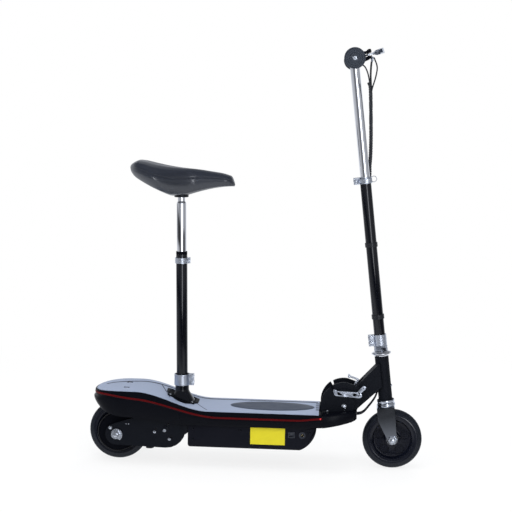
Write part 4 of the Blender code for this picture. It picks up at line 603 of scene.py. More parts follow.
def on_deck(name, centres, width, lift):
    """A thin flat line laid on the mat along centres of (x, y): its edges stand at the mat
    and its middle is raised by lift."""
    p = np.asarray(centres, float)
    normal = left_of(unit(np.gradient(p, axis=0)))
    raised = MAT_THICKNESS + lift
    rings = [column(p + normal * share * width / 2, 1, lifted(deck_top, height))
        for share, height in ((-1, 0.001), (-0.8, raised), (0.8, raised), (1, 0.001))]
    fit(skin(name, at_axle(np.stack(rings, 1)), caps=True), mat_line, "chassis")


on_deck("mat_edge_line", routed(mm([(-33, 15), (-20, 24), (8, 33), (35, 39), (62, 44),
    (106, 52), (150, 56), (300, 56), (466, 56)]), 10), 0.0078, 0.0002)
t = np.linspace(0, 1, 16)[:, None]
seams = ((93, 50), (123.5, -39)), ((148, 50), (211.5, -57.6))
for number, (start, stop) in enumerate(seams, 1):
    on_deck(f"mat_seam_{number}", mm(start) + (mm(stop) - mm(start)) * t, 0.0026, 0.0002)
for number, y in enumerate((0.041, 0.0205, 0.0, -0.0205), 1):
    on_deck(f"mat_rib_{number}", np.array((0.4618, y)) + (0.007, 0.0) * t, 0.007, 0.0006)


def eased(profile, radius, steps=4, closed=False):
    """A profile with rounded corners: each becomes the quadratic curve between the points
    a radius away along its two edges."""
    p = np.asarray(profile, float)
    back, on = np.roll(p, 1, 0) - p, np.roll(p, -1, 0) - p
    a = p + back * np.minimum(radius / np.linalg.norm(back, axis=1, keepdims=True), 0.45)
    b = p + on * np.minimum(radius / np.linalg.norm(on, axis=1, keepdims=True), 0.45)
    t = np.linspace(0, 1, steps)[:, None, None]
    curve = (1 - t) ** 2 * a + 2 * t * (1 - t) * p + t ** 2 * b
    points = np.moveaxis(curve, 0, 1).reshape(-1, 2)
    return points if closed else np.vstack([p[:1], points[steps:-steps], p[-1:]])


def laid(name, outline, lift, material):
    """A thin flat shape on the mat: rings of its outline shrink to the middle, each point
    raised by lift over the deck there."""
    middle = outline.mean(0)
    rings = [column(middle + share * (outline - middle), 1, lifted(deck_top, height))
        for share, height in ((0.0, 0.0008), (1.0, 0.0008), (1.0, lift - 0.0002),
            (0.99, lift), (0.75, lift), (0.5, lift), (0.25, lift), (0.0, lift))]
    fit(skin(name, at_axle(np.stack(rings))), material, "chassis", slot="rubber")


# The oval field carries a name in the photograph; here it is left bare.
oval_slate = finish("oval_slate", (0.042, 0.054, 0.082), 0.45, grain=2600,
    depth=0.15, cloud=30, specular=0.2)
laid("mat_oval_field", np.stack([0.36 + 0.0985 * np.cos(turns(96)),
    0.003 + 0.044 * np.sin(turns(96))], 1), 0.0016, oval_slate)
# A black plate 3 mm thick laid on the mat round the socket's foot. Its outline reaches 46 mm out on the
# right and 35 mm on the left, so it lays a dark patch on the mat beside the socket, mostly on the right.
laid("dark_plate_at_socket", eased(mm([(110, 35), (111, 2), (138, -44), (160, -46), (186, -10),
    (186, 35)]), 0.006, 6, closed=True), 0.003, deck_plastic)

stripe = around_tail("edge_trim", [(inset, lifted(stripe_line, rise)) for inset, rise in (
    (0.0035, -0.0022), (0.0, -0.0022), (-0.0005, -0.0014), (-0.0006, 0.0),
    (-0.0005, 0.0014), (0.0, 0.0022), (0.0035, 0.0022))], DECK_END_X)
fit(stripe, trim_red, "chassis", "edge_stripe")

AXIS_ORDER = {"Z": (0, 1, 2), "Y": (0, 2, 1), "X": (2, 0, 1)}
SIDES = ((-1, "right"), (1, "left"))


def turned(name, profile, place, axis="Z", centre=(0, 0, 0), sides=64, loop=False,
        flute=0.0, flutes=0):
    """A profile of (radius, height) swung round an axis through centre. With flutes, the
    radius rises and falls by flute that many times in a turn."""
    r, h = np.asarray(profile, float).T
    a = turns(sides)
    size = r[:, None] + flute * np.cos(flutes * a)
    parts = size * np.cos(a), size * np.sin(a), h[:, None] + 0 * a
    grid = np.stack([parts[i] for i in AXIS_ORDER[axis]], -1) + np.asarray(centre, float)
    return skin(name, place(grid), loop=loop)


def spun(name, profile, place, axis, centre, sides, material, body, *stands_for, slot=None,
        **how):
    """A turned piece, fitted with its material, body and nodes."""
    return fit(turned(name, profile, place, axis, centre, sides, **how), material, body,
        *stands_for, slot=slot)


def tube(name, inner, outer, low, high, place, axis, centre, sides, material, body,
        *stands_for, corner=0.0005):
    """A tube or washer with softly rounded ends, round an axis through centre."""
    section = [(inner, low), (outer, low), (outer, high), (inner, high)]
    return spun(name, eased(section, corner, closed=True), place, axis, centre, sides, material,
        body, *stands_for, loop=True)


zinc = finish("zinc_plate", (0.62, 0.65, 0.71), 0.27, 1.0, cloud=35, grain=2500,
    tint=0.1, uneven=0.05, depth=0.02)
DOME = mm([(0, 2.9), (0.9, 2.85), (1.2, 1.5), (1.3, 1.4), (1.4, 2.8), (2.6, 2.3), (3.6, 1.4),
    (4.1, 0), (4.1, -0.4), (0, -0.4)])


def dome_bolt(name, place, centre, body, size, axis="Y", out=-1, material=zinc):
    """A button-head bolt with a round socket, its head growing out along the axis."""
    return spun(name, DOME * (size, size * out), place, axis, centre, 28, material, body,
        slot="zinc")


for side, label in SIDES:
    dome_bolt(f"{label}_tail_screw", at_axle, (TAIL_SCREW_X, side * TAIL_SCREW_Y, recess_floor),
        "chassis", 1.1, "Z", 1)
    spun(f"{label}_stripe_lens", mm([(0, 1.8), (1.4, 1.4), (2.2, 0), (2.2, -1), (0, -1)])
        * (1, side), at_axle, "Y", (0.4735, side * 0.0752, float(stripe_line(0.4735))), 24,
        lens_red, "chassis")

# Side skirt and nose cover.
# A black moulded skirt hangs under the trim from the tail to the nose, and a separate
# hollow cover closes the front round the hinge. Both clip to the deck board.
SKIRT_SECTION = ((0.0, 0.97), (0.0, 0.86), (0.0002, 0.7), (0.0006, 0.5), (0.0013, 0.28),
    (0.0024, 0.1), (0.0036, 0.0), (0.0052, 0.02), (0.0032, 0.35))
SKIRT_SWELL = (0.0, -0.003, -0.0022, 0.0034, 0.0036, 0.0022, 0.0, -0.002, -0.002, 0.0, 0.0)


def skirt_top(x):
    """Height of the skirt's upper edge, just under the stripe."""
    return stripe_line(x) - STRIPE_HEIGHT / 2 - GAP - 0.0022 * ease((-0.03 - x) / 0.02)


def skirt_height(share):
    """Height at a share of the way from the skirt's lower edge to its upper edge."""
    return lambda x: body_line(x) + (skirt_top(x) - body_line(x)) * share


skirt_black = finish("skirt_black", (0.0024, 0.0028, 0.0048), 0.28,
    grain=1500, depth=0.06, cloud=8, tint=0.18, uneven=0.07, specular=0.07)
skirt = around_tail("side_skirt", [(0.0004, skirt_top)]
    + [(inset, skirt_height(share)) for inset, share in SKIRT_SECTION]
    + [(0.0026, skirt_top)], STRAIGHT_END_X, SKIRT_SWELL)
fit(skirt, skirt_black, "chassis", "body_skirt")


def nose_edge(inset):
    """The nose's left edge from above: a quarter ellipse from the straight side in to the
    narrow front."""
    a = np.linspace(0, np.pi / 2, 22)
    front = NOSE_HALF_WIDTH - inset
    length = NOSE_END_X - GAP - inset - STRAIGHT_END_X
    return np.stack([STRAIGHT_END_X + GAP + length * np.sin(a),
        front + (HALF_WIDTH - inset - front) * np.cos(a)], 1)


nose_columns = both_halves([(0.0016, 1, body_line), (0.0004, 1, lifted(body_line, 0.003)),
    (0.0, 1, lifted(body_line, 0.01)), (0.0, 1, lifted(deck_top, -0.004)),
    (0.0006, 1, lifted(deck_top, -0.0018)), (0.0019, 1, lifted(deck_top, -0.0006)),
    (0.0042, 1, deck_top), (0.0042, 0.6, deck_top), (0.0042, 0.2, deck_top)])
grid = np.stack([column(nose_edge(inset), share, height)
    for inset, share, height in nose_columns], 1)
wall = grid[-1:]
centre = np.array([float(wall[..., 0].max()), 0.0, 0.128])
shares = np.array([0.985, 0.9, 0.5, 0.0])[:, None, None]
wall = wall * shares + centre * (1 - shares)
wall[..., 0] = centre[0]
nose = skin("nose_shell", at_axle(np.vstack([grid, wall])), ring=False)
shell = nose.modifiers.new("wall", "SOLIDIFY")
shell.thickness, shell.offset = 0.0022, -1.0
carve(nose, block((0.46, -BRACKET_SIDE, 0.1), (0.5535, BRACKET_SIDE, 0.2)),
    turned("entry", [(0.0, 0.53), (0.0072, 0.53), (0.0072, 0.57), (0.0, 0.57)], at_axle, "X",
        (0.0, 0.004, 0.1235), 32))
fit(nose, skirt_black, "chassis", "nose_cover")

# Chassis, side plates and drive.
# Cut and folded steel sheet in black paint carries the axle, the motor and the stand. Bolts,
# cams and nuts are zinc plated; the belt and its pulleys run between the plates.
PLATE_FACE, CAM_FACE = 0.0533, 0.0561
TYRE_RADIUS = 0.069


def softened(node_name, material, width, slot=None):
    """A merged copy of one of the frame's nodes, its sharp edges broken by a small chamfer."""
    source = frame["nodes"][node_name]
    mesh = source.data.copy()
    bm = bmesh.new()
    bm.from_mesh(mesh)
    bmesh.ops.remove_doubles(bm, verts=bm.verts, dist=WELD)
    bmesh.ops.dissolve_limit(bm, angle_limit=math.radians(0.6), verts=bm.verts,
        edges=bm.edges)
    bm.to_mesh(mesh)
    bm.free()
    for attribute in [a for a in mesh.attributes if a.name == "custom_normal"]:
        mesh.attributes.remove(attribute)
    mesh.shade_smooth()
    mesh.set_sharp_from_angle(angle=math.radians(SHARP))
    piece = put(f"{node_name}_finished", mesh)
    if width:
        broken = piece.modifiers.new("broken_edge", "BEVEL")
        broken.width, broken.segments = width, 2
        broken.limit_method, broken.angle_limit = "ANGLE", math.radians(SHARP)
        broken.harden_normals = True
    return fit(piece, material, body_of(source)[0], node_name, slot=slot)


frame_paint = finish("frame_paint", (0.005, 0.006, 0.009), 0.52, cloud=14,
    grain=1800, depth=0.03, tint=0.2, uneven=0.05, specular=0.08)
satin_paint = finish("satin_paint", (0.004, 0.005, 0.008), 0.38, cloud=14,
    grain=1400, depth=0.06, tint=0.2, specular=0.1)
motor_paint = finish("motor_enamel", (0.01, 0.011, 0.014), 0.3, specular=0.35)
belt_rubber = finish("belt_rubber", (0.01, 0.01, 0.012), 0.62, grain=1200,
    depth=0.3, specular=0.25)
battery_wrap = finish("battery_wrap", (0.02, 0.045, 0.12), 0.35)
for name, material, width in (("chassis_frame", satin_paint, 0.0005),
        ("right_side_plate", satin_paint, 0.0006), ("left_side_plate", satin_paint, 0.0006),
        ("right_snail_cam", zinc, 0.0004), ("left_snail_cam", zinc, 0.0004),
        ("motor", motor_paint, 0.0004), ("rear_pulley", deck_plastic, 0.0),
        ("motor_pulley", zinc, 0.0), ("drive_belt", belt_rubber, 0.0),
        ("brake_drum", zinc, 0.0003), ("brake_band", zinc, 0.0), ("brake_arm", zinc, 0.0004),
        ("battery_pack", battery_wrap, 0.0008), ("rear_axle", zinc, 0.0003),
        ("front_axle", zinc, 0.0003)):
    softened(name, material, width)


def hex_nut(name, place, centre, across_flats, thick, body, out=-1):
    """A six-sided nut with chamfered corners, its height growing out along the axle."""
    corner = across_flats / 2 / math.cos(math.pi / 6)
    profile = [(0.0, 0.0), (corner * 0.93, 0.0), (corner, thick * 0.14),
        (corner, thick * 0.8), (corner * 0.93, thick), (0.0, thick)]
    return spun(name, np.array(profile) * (1, out), place, "Y", centre, 6, zinc, body)


def threaded_end(name, place, centre, radius, length, body, out):
    """A bolt's end with a cut thread: the radius rises and falls once a pitch."""
    h = np.linspace(0, length, 48)
    r = radius - 0.0002 + 0.0002 * np.cos(2 * np.pi * h / 0.0008)
    r[-5:] -= np.linspace(0, 0.0006, 5)
    profile = np.vstack([[0, 0], np.stack([r, h], 1), [0, length]]) * (1, out)
    return spun(name, profile, place, "Y", centre, 32, zinc, body)


spun("motor_bearing_cap", mm([(0, -1.2), (4.5, -1.1), (7, -0.6), (7.8, 0), (7.8, 0.6), (0, 0.6)]),
    at_axle, "Y", (0.116, -PLATE_FACE, 0.0855), 40, satin_paint, "chassis")
for number, (x, z, size, material) in enumerate(((0.0903, 0.0778, 1.05, zinc),
        (0.1248, 0.0617, 1.0, zinc), (0.122, 0.0972, 0.55, motor_paint)), 1):
    dome_bolt(f"motor_bolt_{number}", at_axle, (x, -PLATE_FACE, z), "chassis", size,
        material=material)
hex_nut("motor_nut", at_axle, (0.1136, -PLATE_FACE - 0.001, 0.0819), 0.0072, 0.0026, "chassis")
for number, x in enumerate((0.0233, 0.0292), 1):
    dome_bolt(f"plate_rivet_{number}", at_axle, (x, -PLATE_FACE, 0.0945), "chassis", 0.42)
for side, label in SIDES:
    hex_nut(f"{label}_adjuster_nut", at_axle, (-0.0127, side * PLATE_FACE, 0.0844), 0.0085,
        0.0042, "chassis", side)
    threaded_end(f"{label}_adjuster_stud", at_axle,
        (-0.0127, side * (PLATE_FACE + 0.004), 0.0844), 0.0025, 0.0022, "chassis", side)
    tube(f"{label}_axle_washer", 0.0052, 0.011, 0.0, side * 0.0012, at_axle, "Y",
        (0, side * CAM_FACE, TYRE_RADIUS), 40, zinc, "chassis", corner=0.0003)
    hex_nut(f"{label}_axle_nut", at_axle, (0, side * (CAM_FACE + 0.001), TYRE_RADIUS), 0.0182,
        0.0046, "chassis", side)
    threaded_end(f"{label}_axle_end", at_axle, (0, side * (CAM_FACE + 0.0054), TYRE_RADIUS),
        0.005, 0.0026, "chassis", side)

# Wheels.
# Two small tyres with a grooved tread on glossy black moulded rims. Each web has five round
# holes, and two ball bearings run in the hub.
CROWN_SWING = np.pi / 2 * 0.93
TYRE_SIDES, TREAD_SIPES = 432, 60
WEB_HOLES, WEB_HOLE_CIRCLE = 5, 0.0305
tyre_rubber = finish("tyre_rubber", (0.006, 0.008, 0.013), 0.44, cloud=30, grain=1500,
    depth=0.12, tint=0.2, uneven=0.08, specular=0.25)
rim_gloss = finish("rim_gloss", (0.004, 0.005, 0.01), 0.2, cloud=18,
    depth=0.02, tint=0.2, specular=0.3)
bearing_steel = finish("bearing_steel", (0.56, 0.57, 0.6), 0.22, 1.0)


def in_row(points):
    """Points already given in the row frame."""
    return points


def tyre(name, centre):
    """A tyre. With s the sine of an angle across it, the crown's radius is 69 mm less
    13.5 mm * |s| ^ 4.2 and its breadth grows as s, up to 15 mm; walls go in to the beads.
    Two grooves run round the tread, and slanted sipes cut its shoulders."""
    swing = np.sin(np.linspace(-1, 1, 45) * CROWN_SWING)
    crown = np.stack([TYRE_RADIUS - 0.0135 * np.abs(swing) ** 4.2,
        0.015 * swing / math.sin(CROWN_SWING)], 1)
    wall = mm([(53.2, 13.6), (51.8, 11.8), (49.8, 9.6), (49.8, 0)])
    r, y = np.vstack([crown, wall, wall[-2::-1] * (1, -1)]).T
    turn = np.arange(TYRE_SIDES) / TYRE_SIDES
    groove = np.exp(-((np.abs(y) - 0.0036) / 0.0005) ** 2) * (r > 0.064)
    sipe_phase = (turn * TREAD_SIPES + np.abs(y)[:, None] * 90) % 1.0
    sipe = np.clip(1 - np.abs(sipe_phase - 0.5) / 0.14, 0, 1)
    shoulder = ((np.abs(y) > 0.0047) & (r > 0.06))[:, None]
    size = r[:, None] - 0.0009 * groove[:, None] - 0.0008 * sipe * shoulder
    a = 2 * np.pi * turn
    grid = np.stack([size * np.cos(a), y[:, None] + 0 * a, size * np.sin(a)], -1)
    return skin(name, grid + np.asarray(centre), loop=True, sharp=60)


RIM_HALF = eased(mm([(49.5, 0), (49.5, 9.4), (51.2, 11.2), (54.5, 14.4), (59, 13.7),
    (59.7, 14), (59.2, 14.9), (56, 15.5), (51, 15.2), (46.2, 12.5), (44, 6), (42.6, 3.5),
    (20, 3.5), (18, 6), (17.2, 15.2), (16, 15.5), (13.3, 15.5), (13.3, 0)]), 0.0008)
WEB_HOLE = mm([(0, 20), (12, 20), (11.2, 3.6), (10.6, 3), (10.4, 0.6), (0, 0.6)])


def wheel(end, x, body):
    """A wheel on the row's axle line at x: its tyre, its rim and the bearing shields."""
    centre = (x, 0.0, TYRE_RADIUS)
    fit(tyre(f"{end}_tyre_tread", centre), tyre_rubber, body, f"{end}_tyre")
    ring = np.vstack([RIM_HALF, (RIM_HALF * (1, -1))[-2:0:-1]])
    rim = turned(f"{end}_rim_moulding", ring, in_row, "Y", centre, 120, loop=True)
    cutters = []
    for number in range(WEB_HOLES):
        a = math.radians(90 + 360 / WEB_HOLES * number)
        spot = (x + WEB_HOLE_CIRCLE * math.cos(a), 0, TYRE_RADIUS + WEB_HOLE_CIRCLE * math.sin(a))
        cutters += [turned("hole", WEB_HOLE * (1, out), in_row, "Y", spot, 40)
            for out in (-1, 1)]
    fit(carve(rim, *cutters), rim_gloss, body, f"{end}_rim")
    softened(f"{end}_bearings", bearing_steel, 0.0002)
    for side, label in SIDES:
        tube(f"{end}_shield_{label}", 0.0062, 0.0118, side * 0.0146, side * 0.0153, in_row,
            "Y", centre, 48, deck_plastic, body, corner=0.0002)


wheel("rear", REAR_AXLE_X, "rear_wheel")
wheel("front", -REAR_AXLE_X, "front_wheel")

# Battery box, switch and socket.
# A black moulded box with a full round front hangs under the deck and holds two batteries
# and the controller. A rocker switch, a charging socket and a plain yellow label are on it.
BOX_HALF, BOX_TOP, BOX_FLOOR = 0.06, 0.1007, 0.047
SOCKET_X, SOCKET_Z = 0.4328, 0.0835


def slab(name, outline, low, high, place, axis="Y", edge=0.0006, steps=4):
    """A plate cut to an outline, both its edges rounded: rings of the outline drawn in by
    edge * (1 - sin a) while the height runs edge * (1 - cos a)."""
    p = np.asarray(outline, float)
    inward = left_of(unit(np.roll(p, -1, 0) - np.roll(p, 1, 0)))
    area = np.sum(p[:, 0] * np.roll(p[:, 1], -1) - np.roll(p[:, 0], -1) * p[:, 1])
    a = np.linspace(0, np.pi / 2, steps)
    inset = edge * (1 - np.sin(a))
    lift = edge * (1 - np.cos(a))
    insets = np.concatenate([inset, inset[::-1]])
    heights = np.concatenate([low + lift, high - lift[::-1]])
    rings = p[None] + (inward * np.sign(area))[None] * insets[:, None, None]
    flat = [rings[..., 0], rings[..., 1], heights[:, None] + 0 * rings[..., 0]]
    return skin(name, place(np.stack([flat[i] for i in AXIS_ORDER[axis]], -1)), caps=True)


def arc(centre, radius, start, end, steps):
    """Points round a centre from one angle to another, in degrees."""
    a = np.radians(np.linspace(start, end, steps))
    return np.stack([centre[0] + radius * np.cos(a), centre[1] + radius * np.sin(a)], 1)


def rounded(low, high, radius, steps=7):
    """A rectangle with round corners."""
    (x0, y0), (x1, y1) = np.add(low, radius), np.subtract(high, radius)
    return np.vstack([arc(corner, radius, start, start + 90, steps) for corner, start in
        (((x1, y0), -90), ((x1, y1), 0), ((x0, y1), 90), ((x0, y0), 180))])


a = np.linspace(0, np.pi / 2, 30)[1:]
box_front = np.stack([0.426 + 0.039 * np.sin(a) ** 1.4,
    BOX_TOP - (BOX_TOP - BOX_FLOOR) * np.cos(a)], 1)
box_side = np.vstack([arc((0.174, 0.053), 0.006, 180, 270, 8),
    [(x, BOX_FLOOR) for x in (0.25, 0.33, 0.4)], box_front,
    [(x, BOX_TOP) for x in (0.4, 0.33, 0.25, 0.168)], [(0.168, 0.075)]])
box_plastic = finish("box_plastic", (0.0045, 0.005, 0.009), 0.36, grain=900,
    depth=0.1, cloud=10, tint=0.18, uneven=0.05, specular=0.1)
label_yellow = finish("plain_yellow_label", (0.64, 0.56, 0.022), 0.4,
    cloud=40, tint=0.06, grain=2500, depth=0.05, specular=0.15)
switch_black = finish("switch_black", (0.02, 0.023, 0.032), 0.26)
socket_brass = finish("socket_pin", (0.7, 0.56, 0.28), 0.25, 1.0)

box = slab("battery_case", box_side, -BOX_HALF, BOX_HALF, at_axle, edge=0.0032, steps=6)
carve(box, block((0.4011, -0.07, 0.0775), (0.4145, -0.04, 0.0897)),
    turned("socket_bore", mm([(0, -70), (5.9, -70), (5.9, -46), (0, -46)]), at_axle, "Y",
        (SOCKET_X, 0.0, SOCKET_Z), 32))
fit(box, box_plastic, "chassis", "battery_box")
fit(slab("blank_yellow_label", rounded((0.3132, 0.0583), (0.393, 0.098), 0.0008),
    -BOX_HALF - 0.0004, -BOX_HALF + 0.0003, at_axle, edge=0.0002), label_yellow, "chassis")
for number, (x, z) in enumerate(((0.18, 0.09), (0.18, 0.066), (0.29, 0.09),
        (0.45, 0.09)), 1):
    for side, label in SIDES:
        dome_bolt(f"case_screw_{label}_{number}", at_axle, (x, side * BOX_HALF, z), "chassis",
            0.62, out=side, material=satin_paint)
for side, label in SIDES:
    inner, outer = sorted((side * 0.0508, side * (PLATE_FACE + 0.0001)))
    fit(slab(f"{label}_gusset", mm([(150, 100.3), (150, 80), (156, 72.2), (161.5, 73.8),
        (167.6, 78.5), (167.6, 100.3)]), inner, outer, at_axle, edge=0.0004), satin_paint,
        "chassis")
for name in ("switch_case", "switch_rocker", "charge_socket"):
    softened(name, switch_black, 0.0003)
softened("motor_controller", finish("controller_case", (0.6, 0.61, 0.63), 0.4,
    1.0), 0.0008)
for number, angle in enumerate((90, 210, 330), 1):
    a = math.radians(angle)
    spun(f"socket_pin_{number}", mm([(0, -0.5), (0.5, -0.8), (0.5, 7.2), (0, 7.2)]), at_axle,
        "Y", (SOCKET_X + 0.0024 * math.cos(a), -BOX_HALF, SOCKET_Z + 0.0024 * math.sin(a)),
        12, socket_brass, "chassis")

# Kickstand.
# A bent steel rod on a hub that turns on a stud of the left plate, with a rubber foot. The
# photograph's far side hides it.
STAND_X, STAND_Z = 0.025, 0.075
FOOT_X, FOOT_Y = 0.06, 0.095
stand_leg = routed(mm([(26, 69.3, 69), (32, 71.8, 57), (46, 83, 32), (60, 95, 6)]), 14)
fit(swept("stand_leg", at_axle(stand_leg), 0.0049, 24), zinc, "stand", "kickstand")
tube("stand_hub", 0.0044, 0.0085, 0.0538, 0.0746, at_axle, "Y", (STAND_X, 0, STAND_Z), 40,
    zinc, "stand", corner=0.0006)
spun("stand_foot", eased(mm([(0, 0), (10, 0), (9.6, 4), (7.8, 9), (5.8, 13), (0, 13)]), 0.0008),
    at_axle, "Z", (FOOT_X, FOOT_Y, 0.0), 32, tyre_rubber, "stand", slot="rubber")
spun("stand_cap", DOME * (1.6, 1.0), at_axle, "Y", (STAND_X, 0.075, STAND_Z), 32, zinc,
    "chassis")

# Folding hinge.
# Notched sector plates welded to a base, the neck turning between them on a slotted bolt,
# and a plated latch whose studs drop into the notches; a bent lever lifts it.
softened("hinge_bracket", frame_paint, 0.0006)
softened("neck", frame_paint, 0.0005)
latch_zinc = finish("latch_zinc", (0.6, 0.64, 0.73), 0.27, 1.0, cloud=30, tint=0.08,
    uneven=0.05, depth=0.0)


def at_pivot(points):
    """Points given from the fold's pivot, in the row frame."""
    return np.asarray(points, float) + (0.2062, 0.0, 0.1487)


def pivot_rod(name, x, z, radius, half, body, material, *stands_for):
    """A round pin across the hinge, its ends rounded off."""
    profile = eased([(0.0, -half), (radius, -half), (radius, half), (0.0, half)], 0.0008)
    return spun(name, profile, at_pivot, "Y", (x, 0, z), 36, material, body, *stands_for)


# Each latch arm is a pressed strap with a raised rim, a cut-out at each end and a turned-up
# tab; the pin through both arms turns in the neck.
ARM_IN, ARM_OUT = 0.0333, 0.0368
arm_outline = np.vstack([arc((-0.0176, 0.0302), 0.0062, 92, 266, 14),
    arc((0.0343, 0.0277), 0.0068, 268, 448, 14)])
tab_outline = np.vstack([arc((0.0345, 0.0345), 0.0042, 135, 315, 10),
    arc((0.0448, 0.0455), 0.0046, 315, 495, 12)])
arm_panel = rounded((-0.0006, 0.0232), (0.0172, 0.0328), 0.0012, 4)
hook_hole = eased(mm([(-16.8, 33.7), (-12.2, 34), (-2.2, 25.8), (-15.2, 26.8)]), 0.0012,
    closed=True)
slot_hole = rounded((0.0202, 0.0252), (0.0284, 0.0316), 0.0028, 5)
for side, label in SIDES:
    near, far = sorted((side * ARM_IN, side * ARM_OUT))
    face, past = sorted((side * (ARM_OUT - 0.0007), side * (ARM_OUT + 0.004)))
    arm = slab(f"latch_arm_{label}", arm_outline, near, far, at_pivot, edge=0.0007)
    carve(arm, *(slab("cut", outline, low, high, at_pivot, edge=0.0001)
        for outline, low, high in ((arm_panel, face, past), (hook_hole, -0.05, 0.05),
            (slot_hole, -0.05, 0.05))))
    fit(arm, latch_zinc, "latch", *(("latch_yoke",) if side < 0 else ()))
    tab = slab(f"latch_tab_{label}", tab_outline, near, far + 0.0004 * max(side, 0), at_pivot)
    fit(carve(tab, turned("hole", mm([(0, -50), (1.3, -50), (1.3, 50), (0, 50)]), at_pivot,
        "Y", (0.044, 0, 0.0448), 20)), latch_zinc, "latch")
    dome_bolt(f"latch_shaft_cap_{label}", at_pivot, (0.0335, side * ARM_OUT, 0.0262), "latch",
        0.85, out=side)
pivot_rod("latch_shaft", 0.0315, 0.0317, 0.004, 0.0366, "latch", latch_zinc)
for side, label in SIDES:
    spun(f"latch_stud_{label}", eased(mm([(0, 27.2), (4, 27.2), (4, 35.2), (0, 35.2)])
        * (1, side), 0.0004), at_pivot, "Y", (-0.0215, 0, 0.0346), 28, latch_zinc, "latch")

pull_line = routed(mm([(30, 34.5), (24, 42.5), (28.8, 50.5), (32, 55.8), (28.8, 58.3),
    (10.2, 65)]), 8)
normal = left_of(unit(np.gradient(pull_line, axis=0)))
a = turns(28)
half_thick = np.interp(np.linspace(0, 1, len(pull_line)), (0, 0.15, 0.45, 0.6, 1),
    (0.0018, 0.0032, 0.003, 0.0016, 0.0015))
thick = half_thick[:, None] * np.sign(np.sin(a)) * np.abs(np.sin(a)) ** 0.5
wide = 0.0065 * np.sign(np.cos(a)) * np.abs(np.cos(a)) ** 0.25
ring = pull_line[:, None] + normal[:, None] * thick[..., None]
grid = np.stack([ring[..., 0], np.broadcast_to(wide, ring.shape[:2]), ring[..., 1]], -1)
fit(skin("release_lever", at_pivot(grid), caps=True), latch_zinc, "latch")
pivot_rod("release_handle", 0.0102, 0.0648, 0.0028, 0.011, "latch", latch_zinc)

# The fold turns on one bolt: a slotted head on the right, a dome nut on the left.
pivot_rod("pivot_shank", 0.0, 0.0, 0.0058, 0.033, "chassis", zinc, "pivot_bolt")
cap_profile = mm([(0, 3.6), (3, 3.4), (5.2, 2.4), (6.3, 0.8), (6.3, -0.5), (0, -0.5)])
for side, label in ((-1, "head"), (1, "nut")):
    cap = turned(f"pivot_{label}", cap_profile * (1, side), at_pivot, "Y",
        (0, side * 0.0333, 0), 48)
    if side < 0:
        carve(cap, slab("cut", mm([(-7.5, 6.2), (-6.2, 7.5), (7.5, -6.2), (6.2, -7.5)]),
            -0.04, -0.0353, at_pivot, edge=0.0001))
    fit(cap, zinc, "chassis")
for number, (x, z, size) in enumerate(((-0.0378, -0.0128, 0.75), (-0.027, -0.0165, 0.6),
        (0.0015, -0.0112, 0.45)), 1):
    dome_bolt(f"base_screw_{number}", at_pivot, (x, -0.033, z), "chassis", size)

# Fork and headset.
# A pressed fork in bright plate with its axle nuts, the plated lower race on the black head
# tube, the chrome upper cup, and the lock nut under the stem.
FORK_AXLE_U = 0.0065
fork_plate = finish("bright_plate", (0.66, 0.7, 0.78), 0.045, 1.0, cloud=26,
    tint=0.1, uneven=0.02, depth=0.0)
chrome = finish("chrome_plate", (0.88, 0.89, 0.93), 0.05, 1.0, cloud=12, tint=0.03,
    uneven=0.015, depth=0.0)
lock_nut_steel = finish("lock_nut_steel", (0.36, 0.39, 0.45), 0.26, 1.0)
softened("fork", fork_plate, 0.0007)
for side, label in SIDES:
    tube(f"{label}_fork_washer", 0.0052, 0.0098, 0.0, side * 0.001, on_steering, "Y",
        (FORK_AXLE_U, side * 0.0213, 0.0), 40, zinc, "steering", corner=0.0003)
    hex_nut(f"{label}_front_nut", on_steering, (FORK_AXLE_U, side * 0.0221, 0.0), 0.0182,
        0.0048, "steering", side)
    threaded_end(f"{label}_front_end", on_steering, (FORK_AXLE_U, side * 0.0266, 0.0), 0.005,
        0.0032, "steering", side)

spun("lower_race", eased(mm([(16.4, 94.1), (20.2, 93.6), (20.3, 90.5), (19.9, 89),
    (19.9, 85), (21.2, 83.8), (21.4, 80), (20.6, 78.2), (19.7, 78.2), (19.7, 93.2),
    (16.4, 93.7)]), 0.0004, closed=True), on_steering, "Z", (0, 0, 0), 72, fork_plate,
    "folding_neck", loop=True)
dome_bolt("head_tube_screw", on_steering, (0.0158, -0.0015, 0.126), "folding_neck", 0.8,
    "X", 1)
spun("upper_cup", eased(mm([(11.6, 198), (16.5, 198), (17.2, 200), (22.5, 202.8),
    (22.6, 205.2), (21.2, 206.2), (17.5, 207.2), (16.8, 209), (11.6, 209.2)]), 0.0004,
    closed=True), on_steering, "Z", (0, 0, 0), 120, chrome, "folding_neck",
    "upper_headset_cup", loop=True, flute=0.00018, flutes=20)
spun("lock_nut", mm([(11.3, 209.5), (14.6, 209.5), (15.6, 210.4), (15.6, 215), (14.8, 215.8),
    (14.8, 216.8), (15.4, 217.6), (15.4, 221.2), (14.8, 222.2), (11.3, 222.2)]), on_steering,
    "Z", (0, 0, 0), 8, lock_nut_steel, "steering", "headset_nut", loop=True)
spun("lock_knob", mm([(0, -22.5), (1.6, -22.3), (3, -21.2), (3.4, -19.2), (2.6, -17.2),
    (2, -14.5), (0, -14.5)]), on_steering, "Y", (0.0085, 0.0, 0.215), 32, rim_gloss,
    "steering")

